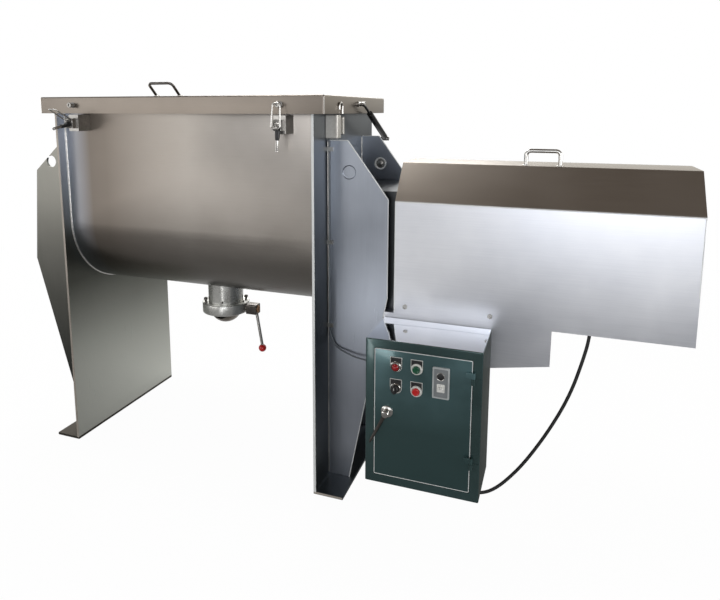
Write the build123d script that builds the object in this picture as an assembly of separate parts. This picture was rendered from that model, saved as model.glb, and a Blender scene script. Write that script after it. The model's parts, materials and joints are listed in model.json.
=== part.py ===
"""Ribbon blender: a U trough between two leg plates, a double ribbon on a driven shaft,
a hinged lid, a ball discharge valve, a guarded gear motor and a control box.

Millimetres. The origin is on the floor at the centre of the four anchor holes.
+X runs from the tank to the drive, +Y to the hinge side of the lid, +Z up.
"""
from build123d import *
from math import atan2, cos, pi, radians, sin, tan
import os

# Tank and leg plates
plate_gap = 866.0
plate_thickness = 8.0
plate_top = 1138.0
foot_width = 82.0
anchor_out = 45.0
anchor_half_spacing_y = 120.0
anchor_hole_r = 7.0
trough_r = 225.0
trough_wall = 4.0
shaft_z = 750.0
rim_width = 24.0
plate_margin = 8.0
outlet_r = 55.0
shaft_hole_r = 32.0

# Gussets outside the leg plates
side_face = 158.0
gusset_thickness = 8.0
gusset_top_z = 1026.0
gusset_top_width = 60.0
right_gusset_width = 179.0
right_knee_low_z = 582.0
right_knee_high_z = 864.0
left_gusset_width_high = 200.0
left_gusset_width_low = 230.0
left_knee_low_z = 592.0
left_knee_high_z = 905.0
gusset_foot_width = 66.0
gusset_hole_r = 20.0
gusset_hole_z = 937.0
right_hole_out = 64.0
left_hole_out = 133.0

# Lid
lid_sheet = 2.0
lid_overhang_x = 38.0
lid_overhang_y = 17.0
lid_bottom = 1100.0
lid_height = 50.0
lid_corner_r = 6.0
gasket_width = 20.0
gasket_gap = 0.3
hinge_axis_out = 13.0
hinge_axis_up = 5.0
hinge_spacing = 600.0
hinge_knuckle_r = 8.0
hinge_pin_r = 4.0
hinge_leaf = 3.0
hinge_knuckle_length = 23.0
hinge_ear_length = 18.0
running_fit = 0.05
clear = 0.3
over = 1.0

# Lid handle and latch catches
lid_handle_rod_r = 4.0
lid_handle_width = 80.0
lid_handle_rise = 36.0
lid_handle_lean = 39.0
lid_handle_x = -30.0
lid_handle_inset = 41.0
handle_bend_r = 12.0
latch_x = 350.0
catch_up = 25.0
catch_r = 5.0
catch_length = 12.0
catch_head_r = 8.0
catch_head = 4.0

# Toggle latches on standoff blocks
block_width = 36.0
block_depth = 50.0
block_height = 50.0
block_below_lid = 4.0
latch_ear = 3.0
latch_ear_inner = 10.0
latch_ear_reach = 19.0
latch_ear_height = 30.0
latch_pin_r = 3.0
latch_pivot_out = 11.0
latch_pivot_down = 26.0
latch_hub_r = 7.0
bail_pivot_out = 16.0
bail_pivot_down = 8.0
bail_wire_r = 2.0
bail_half_width = 16.0
bail_lean = 8.0
bail_rise = 66.0
lever_grip_r = 6.0
lever_grip_length = 30.0
lever_rod_r = 4.0
lever_length = 72.0
lever_lean = 10.0
left_latch_open = 70.0

# Gas strut on the right end
strut_x = 497.0
strut_eye_r = 7.0
strut_eye_width = 12.0
strut_pin_r = 4.0
strut_low_inset = 18.0
strut_low_z = 1014.0
strut_lid_y = -5.0
strut_lid_z = 1128.0
strut_tube_r = 9.5
strut_neck = 8.0
strut_bore_from_eye = 20.0
strut_rod_from_eye = 40.0
strut_rod_r = 4.0
strut_tube_length = 205.0

# Interlock switch, hook and cable
switch_width_y = 30.0
switch_front_y = -177.0
switch_depth_x = 37.0
switch_low_z = 1032.0
switch_high_z = 1097.0
socket_width_y = 46.0
socket_depth_x = 30.0
socket_low_z = 1041.0
socket_high_z = 1091.0
hook_rod_r = 3.0
hook_width = 24.0
hook_top_up = 30.0
hook_leg = 18.0
thin_cable_r = 2.5
thin_cable_x = 446.0
lead_bend_r = (60.0, 40.0, 120.0)
lead_turns = ((0.0, 0.0, 462.0), (22.0, -4.0, 418.0), (80.0, -12.0, 400.0))
lead_gland_in = 20.0
lead_gland_z = 394.0
clip_heights = (1001.0, 733.0, 483.0)
clip_width = 12.0
clip_wall = 1.5

# Discharge valve
tube_wall = 4.0
valve_below_trough = 58.0
valve_ring_r = 73.0
valve_ring_height = 36.0
ball_r = 56.0
ball_bore_r = 35.0
ball_below_top = 20.0
ball_gap = 0.5
stem_r = 9.0
seat_lip = 5.0
seat_rise = 12.0
seat_start = 8.0
ring_bolt_head_r = 5.0
hub_from_ring = 12.0
hub_length = 38.0
hub_side = 34.0
valve_lever_r = 5.0
valve_lever_drop = 129.5
valve_lever_lean = 20.0
valve_knob_r = 13.0
valve_edge = 2.0
hub_edge = 3.0

# Shaft line
shaft_r = 25.0
seal_length = 20.0
bearing_flange = 130.0
bearing_flange_thickness = 16.0
bearing_boss_r = 50.0
bearing_length = 50.0
bearing_draft = 6.0
coupling_start = 596.0
coupling_hub_length = 48.0
coupling_jaw_length = 18.0
coupling_r = 55.0
jaw_inner_r = 31.0
jaw_count = 3
jaw_angle = 40.0
spider_leg_angle = 19.0
jaw_gap = 0.5

# Ribbons
ribbon_gap = 5.0
outer_ribbon_width = 40.0
inner_ribbon_width = 32.0
inner_ribbon_r = 130.0
ribbon_thickness = 6.0
ribbon_start = 14.0
ribbon_length = 400.0
arm_r = 10.0
arm_gap = 0.4
outer_arm_places = (0.04, 0.5, 0.96)
inner_arm_places = (0.25, 0.75)

# Drive
base_top = 542.0
base_thickness = 8.0
bracket_end = 1063.0
bracket_low_near = 360.0
bracket_low_far = 444.0
bracket_upstand = 44.0
output_shaft_r = 22.0
reducer_start = 752.0
reducer_nose_r = 72.0
reducer_nose_length = 44.0
reducer_r = 116.0
reducer_length = 190.0
reducer_flange_r = 125.0
reducer_flange_length = 20.0
reducer_foot_x = 190.0
reducer_foot_y = 250.0
reducer_foot_thickness = 22.0
reducer_nose_draft = 8.0
reducer_rib_places = (0.3, 0.5, 0.7)
reducer_rib_half = 4.0
reducer_rib_rise = 5.0
motor_r = 92.0
motor_fin = 8.0
motor_fin_count = 24
motor_fin_half = 2.0
motor_fin_start = 14.0
motor_end_ring = 10.0
motor_spigot = 6.0
motor_length = 220.0
fan_cover_length = 92.0
fan_cover_wall = 2.0
cowl_bend_r = 12.0
cowl_slots = 8
cowl_slot_half = 4.0
cowl_slot_in = 24.0
cowl_slot_out = 72.0
fan_r = 80.0
fan_length = 34.0
fan_blades = 7
fan_disc = 3.0
rotor_r = 12.0
terminal_length = 100.0
terminal_width = 90.0
terminal_height = 62.0
terminal_from_end = 63.0
terminal_up = 98.0
terminal_pad = 6.0
terminal_corner_r = 8.0
terminal_y = -66.0

# Shaft cover and drive guard
cover_half_width = 130.0
cover_top = 885.0
cover_sheet = 3.0
cover_gap = 3.0
guard_start = 640.0
guard_end_clear = 74.0
guard_sheet = 2.0
guard_top = 963.0
guard_shoulder = 861.0
guard_roof_half = 76.0
guard_notch_r = 70.0
guard_bolt_near = 33.0
guard_bolt_far = 266.0
guard_handle_x = 1018.5
guard_handle_width = 87.0
guard_handle_rise = 45.0
guard_handle_rod_r = 5.5
guard_handle_y = -60.0
bolt_r = 4.0
bolt_head_r = 7.0
bolt_head = 5.0

# Control box
box_x = 612.0
box_width = 300.0
box_depth = 172.0
box_below_base = 14.0
box_height = 400.0
box_sheet = 2.0
door_border = 24.5
door_gap = 1.0
door_sheet = 2.0
door_flange = 14.0
door_corner_r = 3.0
box_bolt_left = 38.0
box_bolt_right = 42.0
box_bolt_high = 48.0
box_bolt_low = 128.0
door_axis_out = 6.0
door_axis_right = 3.0
door_hinge_r = 5.0
door_hinge_length = 32.0
door_hinge_down = 43.5
door_hinge_up = 82.5
button_column_left = 694.0
button_column_right = 748.0
button_row_down = 41.5
button_row_pitch = 59.0
bezel_r = 14.5
bezel_height = 7.0
bezel_edge_r = 1.5
button_edge_r = 1.2
neck_r = 11.0
button_r = 9.4
button_proud = 11.0
button_travel = 4.0
contact_depth = 44.0
contact_wall = 3.0
contact_half_height = 19.0
selector_grip = 3.0
timer_x = 810.5
timer_down = 68.5
timer_width = 43.0
timer_height = 82.0
timer_bezel = 5.0
timer_knob_r = 8.0
timer_knob_below = 13.0
timer_depth = 56.0
timer_spindle_r = 3.0
timer_knob_height = 9.0
timer_notch = 0.8
timer_notch_depth = 2.0
timer_lip_x = 3.0
timer_lip_z = 4.0
latch_plate_r = 16.0
latch_plate = 4.0
door_lever_inset = 34.5
lever_shaft_r = 5.0
door_lever_down = 169.5
door_lever_reach = 95.0
door_lever_angle = 244.0
door_lever_stand = 22.0
door_lever_width = 14.0
door_lever_thickness = 8.0
door_lever_end_r = 6.0
door_cam_reach = 45.0
door_cam = 4.0
panel_margin = 28.0
panel_stand = 10.0
gear_inset = 24.0
contactor_width = 46.0
contactor_height = 74.0
contactor_depth = 62.0
contactor_down = 56.0
contactor_key = 10.0
relay_height = 52.0
relay_depth = 54.0
relay_gap = 2.0
strip_up = 40.0
strip_height = 42.0
strip_depth = 34.0
strip_pitch = 18.0
strip_slot = 4.0
strip_slot_depth = 8.0
strip_slots = 10

# Motor cable, from the terminal box to the gland under the control box
cable_r = 4.5
cable_share = 0.45
cable_route = [
    (1163.0, -66.0, 568.0),
    (1161.0, -69.0, 509.0),
    (1147.0, -78.0, 443.0),
    (1119.0, -92.0, 344.0),
    (1072.0, -108.0, 243.0),
    (1012.0, -130.0, 145.0),
    (962.0, -150.0, 88.0),
    (928.0, -166.0, 64.0),
    (900.0, -180.0, 59.0),
    (883.3, -188.4, 66.2),
    (870.4, -194.8, 80.1),
    (863.1, -198.5, 98.4),
    (862.5, -198.8, 116.0),
]
gland_r = 9.0
gland_hex_r = 12.0
box_gland_length = 12.0
mains_gland_x = 700.0
mains_bore_r = 6.0

# Planes worked out from the sizes above
plate_depth = 2 * (trough_r + trough_wall + rim_width + plate_margin)
plate_in = plate_gap / 2
plate_out = plate_in + plate_thickness
half_depth = plate_depth / 2
wall_y = trough_r + trough_wall
lid_x = plate_out + lid_overhang_x
lid_y = half_depth + lid_overhang_y
lid_top = lid_bottom + lid_height
lid_handle_y = lid_handle_inset - lid_y
strut_low_y = half_depth - strut_low_inset
hinge_y = lid_y + hinge_axis_out
hinge_z = lid_bottom + hinge_axis_up
block_top = lid_bottom - block_below_lid
block_front = -(wall_y + block_depth)
strut_stud_length = strut_x - strut_eye_width / 2 - lid_x - clear
pivot_y = block_front - latch_pivot_out
pivot_z = block_top - latch_pivot_down
base_low = base_top - base_thickness
side_inner = side_face - gusset_thickness
reducer_end = reducer_start + reducer_nose_length + reducer_length + reducer_flange_length
motor_end = reducer_end + motor_length
fan_cover_end = motor_end + fan_cover_length
guard_end = fan_cover_end + guard_end_clear
terminal_x = motor_end - terminal_from_end
box_front = -(side_face + box_depth)
box_right = box_x + box_width
box_top = base_top - box_below_base
box_low = box_top - box_height
door_left = box_x + door_border
door_right = box_right - door_border
door_low = box_low + door_border
door_high = box_top - door_border
door_hinge_heights = (door_high - door_hinge_down, door_low + door_hinge_up)
button_row_high = door_high - button_row_down
button_row_low = button_row_high - button_row_pitch
timer_z = door_high - timer_down
timer_knob_z = timer_z - timer_knob_below
door_lever_z = door_high - door_lever_down
door_axis_x = door_right + door_axis_right
door_lever_x = door_left + door_lever_inset
door_axis_y = box_front - door_axis_out
coupling_end = coupling_start + 2 * coupling_hub_length + coupling_jaw_length
valve_top = shaft_z - wall_y - valve_below_trough
valve_low = valve_top - valve_ring_height
ball_z = valve_top - ball_below_top
hub_start = valve_ring_r + hub_from_ring
valve_rod_x = hub_start + hub_length - valve_lever_r - over


def block(x0, x1, y0, y1, z0, z1):
    """A box between two corners."""
    size = Box(x1 - x0, y1 - y0, z1 - z0)
    return Pos((x0 + x1) / 2, (y0 + y1) / 2, (z0 + z1) / 2) * size


def rod_x(x0, x1, y, z, r):
    """A round bar along X."""
    return Pos((x0 + x1) / 2, y, z) * Rot(0, 90, 0) * Cylinder(r, x1 - x0)


def rod_y(x, y0, y1, z, r):
    """A round bar along Y."""
    return Pos(x, (y0 + y1) / 2, z) * Rot(90, 0, 0) * Cylinder(r, y1 - y0)


def rod_z(x, y, z0, z1, r):
    """A round bar along Z."""
    return Pos(x, y, (z0 + z1) / 2) * Cylinder(r, z1 - z0)


def rod_between(start, end, r):
    """A round bar from one point to another."""
    path = Line(start, end)
    return sweep(Plane(origin=path @ 0, z_dir=path % 0) * Circle(r), path=path)


def plate_xz(points, y0, y1):
    """An outline of (x, z) points given a thickness in Y."""
    outline = Polyline(*[(x, y0, z) for x, z in points], close=True)
    return extrude(make_face(outline), amount=y1 - y0, dir=(0, 1, 0))


def plate_yz(points, x0, x1):
    """An outline of (y, z) points given a thickness in X."""
    outline = Polyline(*[(x0, y, z) for y, z in points], close=True)
    return extrude(make_face(outline), amount=x1 - x0, dir=(1, 0, 0))


def bent_rod(points, bend_r, r):
    """A rod that follows straight runs joined by tangent arcs."""
    path = FilletPolyline(*points, radius=bend_r)
    return sweep(Plane(origin=path @ 0, z_dir=path % 0) * Circle(r), path=path)


def turned_x(shape, y, z, angle):
    """A shape turned about an axis along X."""
    return shape.rotate(Axis((0, y, z), (1, 0, 0)), angle)


def mirrored(shape, plane):
    """The shape's image in a plane."""
    return mirror(shape, about=plane)


def spun_x(points, y=0.0, z=shaft_z):
    """A solid of revolution about an axis along X, from (x, r) points."""
    outline = Polyline(*[(x, y, z + r) for x, r in points], close=True)
    return revolve(make_face(outline), axis=Axis((0, y, z), (1, 0, 0)))


def spun_z(points, x=0.0, y=0.0):
    """A solid of revolution about an upright axis, from (r, z) points."""
    outline = Polyline(*[(x + r, y, z) for r, z in points], close=True)
    return revolve(make_face(outline), axis=Axis((x, y, 0), (0, 0, 1)))


# Tank, leg plates and gussets


def leg_plate():
    """The right leg plate: a bent sheet with an outward foot, the shaft hole and two anchor holes."""
    outline = [(plate_in, 0.0), (plate_out + foot_width, 0.0), (plate_out + foot_width, plate_thickness),
               (plate_out, plate_thickness), (plate_out, plate_top), (plate_in, plate_top)]
    plate = plate_xz(outline, -half_depth, half_depth)
    plate -= rod_x(plate_in - over, plate_out + over, 0, shaft_z, shaft_hole_r)
    for y in (-anchor_half_spacing_y, anchor_half_spacing_y):
        plate -= rod_z(plate_out + anchor_out, y, -1, plate_thickness + over, anchor_hole_r)
    for y, z in bearing_bolt_places():
        plate -= rod_x(plate_in - over, plate_out + over, y, z, bolt_r)
    return plate


def trough_section(half_width, rim):
    """The U outline of the trough, as a face at the left plate: a half round and two straight walls."""
    left = (-plate_in, -half_width, plate_top)
    low_left = (-plate_in, -half_width, shaft_z)
    bottom = (-plate_in, 0.0, shaft_z - half_width)
    low_right = (-plate_in, half_width, shaft_z)
    right = (-plate_in, half_width, plate_top)
    edges = [Line(left, low_left), ThreePointArc(low_left, bottom, low_right), Line(low_right, right)]
    face = make_face(Curve() + edges + [Line(right, left)])
    if rim:
        wide = half_width + rim_width
        lip = [(-plate_in, -wide, plate_top - trough_wall), (-plate_in, wide, plate_top - trough_wall),
               (-plate_in, wide, plate_top), (-plate_in, -wide, plate_top)]
        face += make_face(Polyline(*lip, close=True))
    return face


def trough_shell():
    """The rolled trough with turned-out rims and the outlet hole in its bottom."""
    sheet = trough_section(wall_y, True) - trough_section(trough_r, False)
    shell = extrude(sheet, amount=plate_gap, dir=(1, 0, 0))
    return shell - rod_z(0, 0, shaft_z - wall_y - over, shaft_z - trough_r / 2, outlet_r)


def gusset_pair(points, hole_x):
    """Front and rear gusset plates of one end, from one outline."""
    front = plate_xz(points, -side_face, -side_inner)
    front -= rod_y(hole_x, -side_face - over, -side_inner + over, gusset_hole_z, gusset_hole_r)
    return [front, mirrored(front, Plane.XZ)]


def right_gussets():
    """Gussets that also carry the drive bracket."""
    points = [(plate_out, plate_thickness), (plate_out + gusset_foot_width, plate_thickness),
              (plate_out + right_gusset_width, right_knee_low_z),
              (plate_out + right_gusset_width, right_knee_high_z),
              (plate_out + gusset_top_width, gusset_top_z), (plate_out, gusset_top_z)]
    return gusset_pair(points, plate_out + right_hole_out)


def left_gussets():
    """Deeper gussets on the free end of the tank."""
    points = [(-plate_out, plate_thickness), (-plate_out - gusset_foot_width, plate_thickness),
              (-plate_out - left_gusset_width_low, left_knee_low_z),
              (-plate_out - left_gusset_width_high, left_knee_high_z),
              (-plate_out - gusset_top_width, gusset_top_z), (-plate_out, gusset_top_z)]
    return gusset_pair(points, -plate_out - left_hole_out)


# Lid with its gasket, hinges, handle, catches and hook


def lid_shell():
    """A shallow folded tray, open below."""
    outside = block(-lid_x, lid_x, -lid_y, lid_y, lid_bottom, lid_top)
    outside = fillet(outside.edges().filter_by(Axis.Z), lid_corner_r)
    hollow = block(-lid_x + lid_sheet, lid_x - lid_sheet, -lid_y + lid_sheet, lid_y - lid_sheet,
                   lid_bottom - over, lid_top - lid_sheet)
    hollow = fillet(hollow.edges().filter_by(Axis.Z), lid_corner_r - lid_sheet)
    return outside - hollow


def lid_gasket():
    """A frame of sealing strip under the lid, over the plate edges and the trough rims."""
    low = plate_top + gasket_gap
    high = lid_top - lid_sheet
    outer_x = plate_out + gasket_width / 4
    outer_y = wall_y + gasket_width
    ring = block(-outer_x, outer_x, -outer_y, outer_y, low, high)
    inner_x = outer_x - gasket_width
    inner_y = outer_y - gasket_width
    return ring - block(-inner_x, inner_x, -inner_y, inner_y, low - over, high + over)


def lid_handle():
    """A round-bar handle that leans over the front edge."""
    x0 = lid_handle_x - lid_handle_width / 2
    x1 = lid_handle_x + lid_handle_width / 2
    top_y = lid_handle_y - lid_handle_lean
    foot = lid_top + lid_handle_rod_r / 2
    top = lid_top + lid_handle_rise
    points = [(x0, lid_handle_y, foot), (x0, top_y, top), (x1, top_y, top), (x1, lid_handle_y, foot)]
    bar = bent_rod(points, handle_bend_r, lid_handle_rod_r)
    for x in (x0, x1):
        bar += rod_z(x, lid_handle_y, lid_top, lid_top + lid_handle_rod_r, 2 * lid_handle_rod_r)
    return bar


def lid_catches():
    """Headed pins on the front skirt, and the strut stud on the right skirt."""
    pieces = []
    z = lid_bottom + catch_up
    for x in (-latch_x, latch_x):
        pin = rod_y(x, -lid_y - catch_length, -lid_y, z, catch_r)
        head = rod_y(x, -lid_y - catch_length - catch_head, -lid_y - catch_length, z, catch_head_r)
        pieces.append(pin + head)
    stud = rod_x(lid_x, lid_x + strut_stud_length, strut_lid_y, strut_lid_z, strut_pin_r)
    pieces.append(stud + rod_x(lid_x, lid_x + strut_stud_length / 2, strut_lid_y, strut_lid_z, strut_eye_r))
    return pieces


def interlock_hook():
    """A bent-rod hook on the right skirt that hangs over the switch socket."""
    x = lid_x + hook_rod_r
    y0 = switch_front_y + hook_rod_r
    y1 = y0 + hook_width
    top = lid_bottom + hook_top_up
    points = [(x, y0, top - hook_leg), (x, y0, top), (x, y1, top), (x, y1, lid_bottom - hook_rod_r)]
    return bent_rod(points, hook_width / 2 - over, hook_rod_r)


def hinge_leaves():
    """Lid leaves with their middle knuckles, on the rear skirt."""
    half = hinge_knuckle_length / 2
    pieces = []
    for x in (-hinge_spacing / 2, hinge_spacing / 2):
        leaf = block(x - 3 * half, x + 3 * half, lid_y, lid_y + hinge_leaf,
                     hinge_z + hinge_knuckle_r + 2, lid_top - hinge_leaf)
        web = block(x - half, x + half, lid_y, hinge_y, hinge_z, hinge_z + 2 * hinge_knuckle_r)
        knuckle = rod_x(x - half, x + half, hinge_y, hinge_z, hinge_knuckle_r)
        bore = rod_x(x - half - over, x + half + over, hinge_y, hinge_z, hinge_pin_r + running_fit)
        pieces.append(leaf + web + knuckle - bore)
    return pieces


def hinge_brackets():
    """Blocks on the rear wall with two ears each, either side of the lid's knuckle."""
    inner = hinge_knuckle_length / 2 + clear
    outer = inner + hinge_ear_length
    top = hinge_z - hinge_knuckle_r - 5 * clear
    pieces = []
    for x in (-hinge_spacing / 2, hinge_spacing / 2):
        body = block(x - outer, x + outer, wall_y, hinge_y + hinge_knuckle_r, top - block_height, top)
        for x0, x1 in ((x - outer, x - inner), (x + inner, x + outer)):
            body += rod_x(x0, x1, hinge_y, hinge_z, hinge_knuckle_r)
            body += block(x0, x1, hinge_y - hinge_knuckle_r, hinge_y + hinge_knuckle_r, top, hinge_z)
        body -= rod_x(x - outer - over, x + outer + over, hinge_y, hinge_z, hinge_pin_r)
        pieces.append(body)
    return pieces


def hinge_pins():
    """One headed pin for each hinge, tight in the ears."""
    reach = hinge_knuckle_length / 2 + clear + hinge_ear_length
    pieces = []
    for x in (-hinge_spacing / 2, hinge_spacing / 2):
        pin = rod_x(x - reach, x + reach, hinge_y, hinge_z, hinge_pin_r)
        pieces.append(pin + rod_x(x + reach, x + reach + hinge_leaf, hinge_y, hinge_z, 1.5 * hinge_pin_r))
    return pieces


# Toggle latches, worked out in the closed state and turned about their pivots


def latch_blocks():
    """Standoff blocks on the front wall, each with two ears and the lever's pin."""
    pieces = []
    for x in (-latch_x, latch_x):
        body = block(x - block_width / 2, x + block_width / 2, block_front, -wall_y,
                     block_top - block_height, block_top)
        for side in (-1, 1):
            edges = sorted((x + side * latch_ear_inner, x + side * (latch_ear_inner + latch_ear)))
            body += block(edges[0], edges[1], block_front - latch_ear_reach, block_front,
                          pivot_z - latch_ear_height / 2, pivot_z + latch_ear_height / 2)
        reach = latch_ear_inner + latch_ear
        pieces.append(body + rod_x(x - reach, x + reach, pivot_y, pivot_z, latch_pin_r))
    return pieces


def bail_pivot(angle):
    """Where the bail is pinned to the lever when the lever is lifted by an angle."""
    turn = radians(angle)
    out = bail_pivot_out * cos(turn) + bail_pivot_down * sin(turn)
    down = bail_pivot_down * cos(turn) - bail_pivot_out * sin(turn)
    return pivot_y - out, pivot_z - down


def latch_lever(x, angle):
    """The lever: a hub on the pin, a lug for the bail, a black grip and a bright rod end."""
    half = latch_ear_inner - clear
    hub = rod_x(x - half, x + half, pivot_y, pivot_z, latch_hub_r)
    lug_y, lug_z = bail_pivot(0)
    hub += rod_x(x - half, x + half, lug_y, lug_z, 2.2 * bail_wire_r)
    link = Plane(origin=(x, (pivot_y + lug_y) / 2, (pivot_z + lug_z) / 2), x_dir=(1, 0, 0),
                 z_dir=(0, lug_y - pivot_y, lug_z - pivot_z))
    reach = (bail_pivot_out ** 2 + bail_pivot_down ** 2) ** 0.5
    hub += link * Box(2 * half, 3 * bail_wire_r, reach)
    hub -= rod_x(x - half - over, x + half + over, pivot_y, pivot_z, latch_pin_r + running_fit)
    hub -= rod_x(x - half - over, x + half + over, lug_y, lug_z, bail_wire_r + running_fit)
    slope = lever_lean / lever_length
    start = (x, pivot_y - slope * latch_hub_r, pivot_z - latch_hub_r + clear)
    middle = (x, start[1] - slope * lever_grip_length, start[2] - lever_grip_length)
    end = (x, pivot_y - lever_lean, pivot_z - lever_length)
    arm = hub + rod_between(start, middle, lever_grip_r) + rod_between(middle, end, lever_rod_r)
    return turned_x(arm, pivot_y, pivot_z, -angle)


def latch_bail(x, angle):
    """The wire bail, pinned in the lever's lug; it falls forward as the lever lifts."""
    y, z = bail_pivot(0)
    inner = latch_ear_inner - clear - latch_ear
    foot_left = (x - inner, y, z)
    foot_right = (x + inner, y, z)
    left = (x - bail_half_width, y, z)
    right = (x + bail_half_width, y, z)
    top_left = (x - bail_half_width, y + bail_lean, z + bail_rise)
    top_right = (x + bail_half_width, y + bail_lean, z + bail_rise)
    points = [foot_left, left, top_left, top_right, right, foot_right]
    tight = bail_wire_r * 2
    wide = bail_wire_r * 4
    path = FilletPolyline(*points, radius=[tight, wide, wide, tight])
    wire = sweep(Plane(origin=path @ 0, z_dir=path % 0) * Circle(bail_wire_r), path=path)
    new_y, new_z = bail_pivot(angle)
    return Pos(0, new_y - y, new_z - z) * turned_x(wire, y, z, angle)


# Gas strut, from the stud on the right leg plate to the stud on the lid


def strut_plane():
    """A plane at the lower stud whose normal points along the strut."""
    return Plane(origin=(strut_x, strut_low_y, strut_low_z), x_dir=(1, 0, 0),
                 z_dir=(0, strut_lid_y - strut_low_y, strut_lid_z - strut_low_z))


def strut_length():
    """The distance between the two studs with the lid closed."""
    return ((strut_lid_y - strut_low_y) ** 2 + (strut_lid_z - strut_low_z) ** 2) ** 0.5


def along_strut(start, end, r):
    """A round bar on the strut's axis, between two distances from the lower stud."""
    return strut_plane() * Pos(0, 0, (start + end) / 2) * Cylinder(r, end - start)


def strut_eye(y, z):
    """A plain eye with its bore across the strut."""
    half = strut_eye_width / 2
    eye = rod_x(strut_x - half, strut_x + half, y, z, strut_eye_r)
    return eye, rod_x(strut_x - half - over, strut_x + half + over, y, z, strut_pin_r + running_fit)


def strut_stud():
    """The stud that carries the strut's lower eye, with a collar against the leg plate."""
    half = strut_eye_width / 2
    stud = rod_x(plate_out, strut_x + half + clear, strut_low_y, strut_low_z, strut_pin_r)
    stud += rod_x(plate_out, strut_x - half - clear, strut_low_y, strut_low_z, strut_eye_r)
    head = strut_x + half
    return stud + rod_x(head + clear, head + strut_pin_r, strut_low_y, strut_low_z, strut_eye_r)


def strut_tube():
    """The black cylinder with its lower eye and a bore for the rod."""
    eye, bore = strut_eye(strut_low_y, strut_low_z)
    neck = strut_eye_r + strut_neck
    body = along_strut(neck, strut_tube_length, strut_tube_r) + eye
    body += along_strut(0, neck + over, strut_rod_r + over)
    body -= bore
    bore_start = strut_eye_r + strut_bore_from_eye
    return body - along_strut(bore_start, strut_tube_length + over, strut_rod_r + running_fit)


def strut_rod():
    """The bright rod and its upper eye, which stands beside the lid's stud."""
    eye, bore = strut_eye(strut_lid_y, strut_lid_z)
    return along_strut(strut_eye_r + strut_rod_from_eye, strut_length(), strut_rod_r) + eye - bore


# Interlock switch, its socket, cable and clips


def interlock_switch():
    """The switch body with its cap, and the socket block beside it, on the right leg plate."""
    back_y = switch_front_y + switch_width_y
    body = block(plate_out, plate_out + switch_depth_x, switch_front_y, back_y, switch_low_z, switch_high_z)
    upright = body.edges().filter_by(Axis.Z).group_by(Axis.X)[-1]
    body = fillet(upright, switch_width_y / 6)
    socket = block(plate_out, plate_out + socket_depth_x, back_y, back_y + socket_width_y,
                   socket_low_z, socket_high_z)
    slot = block(plate_out + socket_depth_x / 2, plate_out + socket_depth_x + over,
                 back_y + socket_width_y / 4, back_y + socket_width_y * 3 / 4,
                 socket_low_z - over, socket_high_z + over)
    return [body, socket - slot]


def thin_cable_path():
    """Down the corner of the leg plate and the front gusset, then across to the control box."""
    y = -side_face - thin_cable_r - clear
    start = (thin_cable_x, y, switch_low_z)
    turns = [(thin_cable_x + out, y + forward, z) for out, forward, z in lead_turns]
    end = (box_x - box_gland_length, y - lead_gland_in, lead_gland_z)
    return FilletPolyline(start, *turns, end, radius=list(lead_bend_r))


def interlock_cable():
    """The thin lead from the switch to the box."""
    path = thin_cable_path()
    return sweep(Plane(origin=path @ 0, z_dir=path % 0) * Circle(thin_cable_r), path=path)


def cable_clips():
    """Saddle clips on the gusset's face, bored for the lead."""
    y = -side_face - thin_cable_r - clear
    front = y - thin_cable_r - clip_wall
    pieces = []
    for z in clip_heights:
        saddle = block(plate_out, thin_cable_x + clip_width, front, -side_face,
                       z - clip_width / 2, z + clip_width / 2)
        pieces.append(saddle - rod_z(thin_cable_x, y, z - clip_width, z + clip_width, thin_cable_r))
    return pieces


# Discharge valve


def discharge_tube():
    """The outlet tube, cut to the trough's curve."""
    outer = rod_z(0, 0, valve_top, shaft_z - trough_r / 2, outlet_r + tube_wall)
    tube = outer - rod_z(0, 0, valve_top - over, shaft_z, outlet_r)
    return tube - rod_x(-plate_in, plate_in, 0, shaft_z, wall_y)


def valve_ring():
    """The valve body ring with its inner seat, bored for the stem."""
    bore = ball_r + ball_gap
    lip_top = valve_top + seat_rise
    profile = [(bore, valve_low), (valve_ring_r, valve_low), (valve_ring_r, valve_top),
               (outlet_r, valve_top), (outlet_r, lip_top), (outlet_r - seat_lip, lip_top),
               (bore, ball_z + seat_start)]
    ring = spun_z(profile)
    lowest = ring.edges().filter_by(GeomType.CIRCLE).group_by(Axis.Z)[0]
    ring = chamfer(lowest.sort_by(SortBy.LENGTH)[-1], valve_edge)
    return ring - rod_x(0, valve_ring_r + over, 0, ball_z, stem_r + running_fit)


def valve_ball():
    """The bored ball and its stem; the bore lies across the outlet while the valve is shut."""
    ball = Pos(0, 0, ball_z) * Sphere(ball_r)
    ball += rod_x(ball_r / 2, hub_start + hub_length, 0, ball_z, stem_r)
    return ball - rod_y(0, -ball_r, ball_r, ball_z, ball_bore_r)


def valve_lever():
    """A square hub on the stem with a rod that hangs down to the knob."""
    half = hub_side / 2
    hub = block(hub_start, hub_start + hub_length, -half, half, ball_z - half, ball_z + half)
    hub = chamfer(hub.edges().filter_by(Axis.X), hub_edge)
    rod_end = (valve_rod_x + valve_lever_lean, 0, ball_z - valve_lever_drop)
    rod = rod_between((valve_rod_x, 0, ball_z - stem_r - over), rod_end, valve_lever_r)
    return hub + rod - rod_x(hub_start - over, hub_start + hub_length + over, 0, ball_z, stem_r)


def valve_knob():
    """The ball knob on the end of the lever."""
    middle = Pos(valve_rod_x + valve_lever_lean, 0, ball_z - valve_lever_drop - valve_knob_r / 2)
    return middle * Sphere(valve_knob_r) - valve_lever()


# Shaft, ribbons, seals, bearings and coupling

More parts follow.
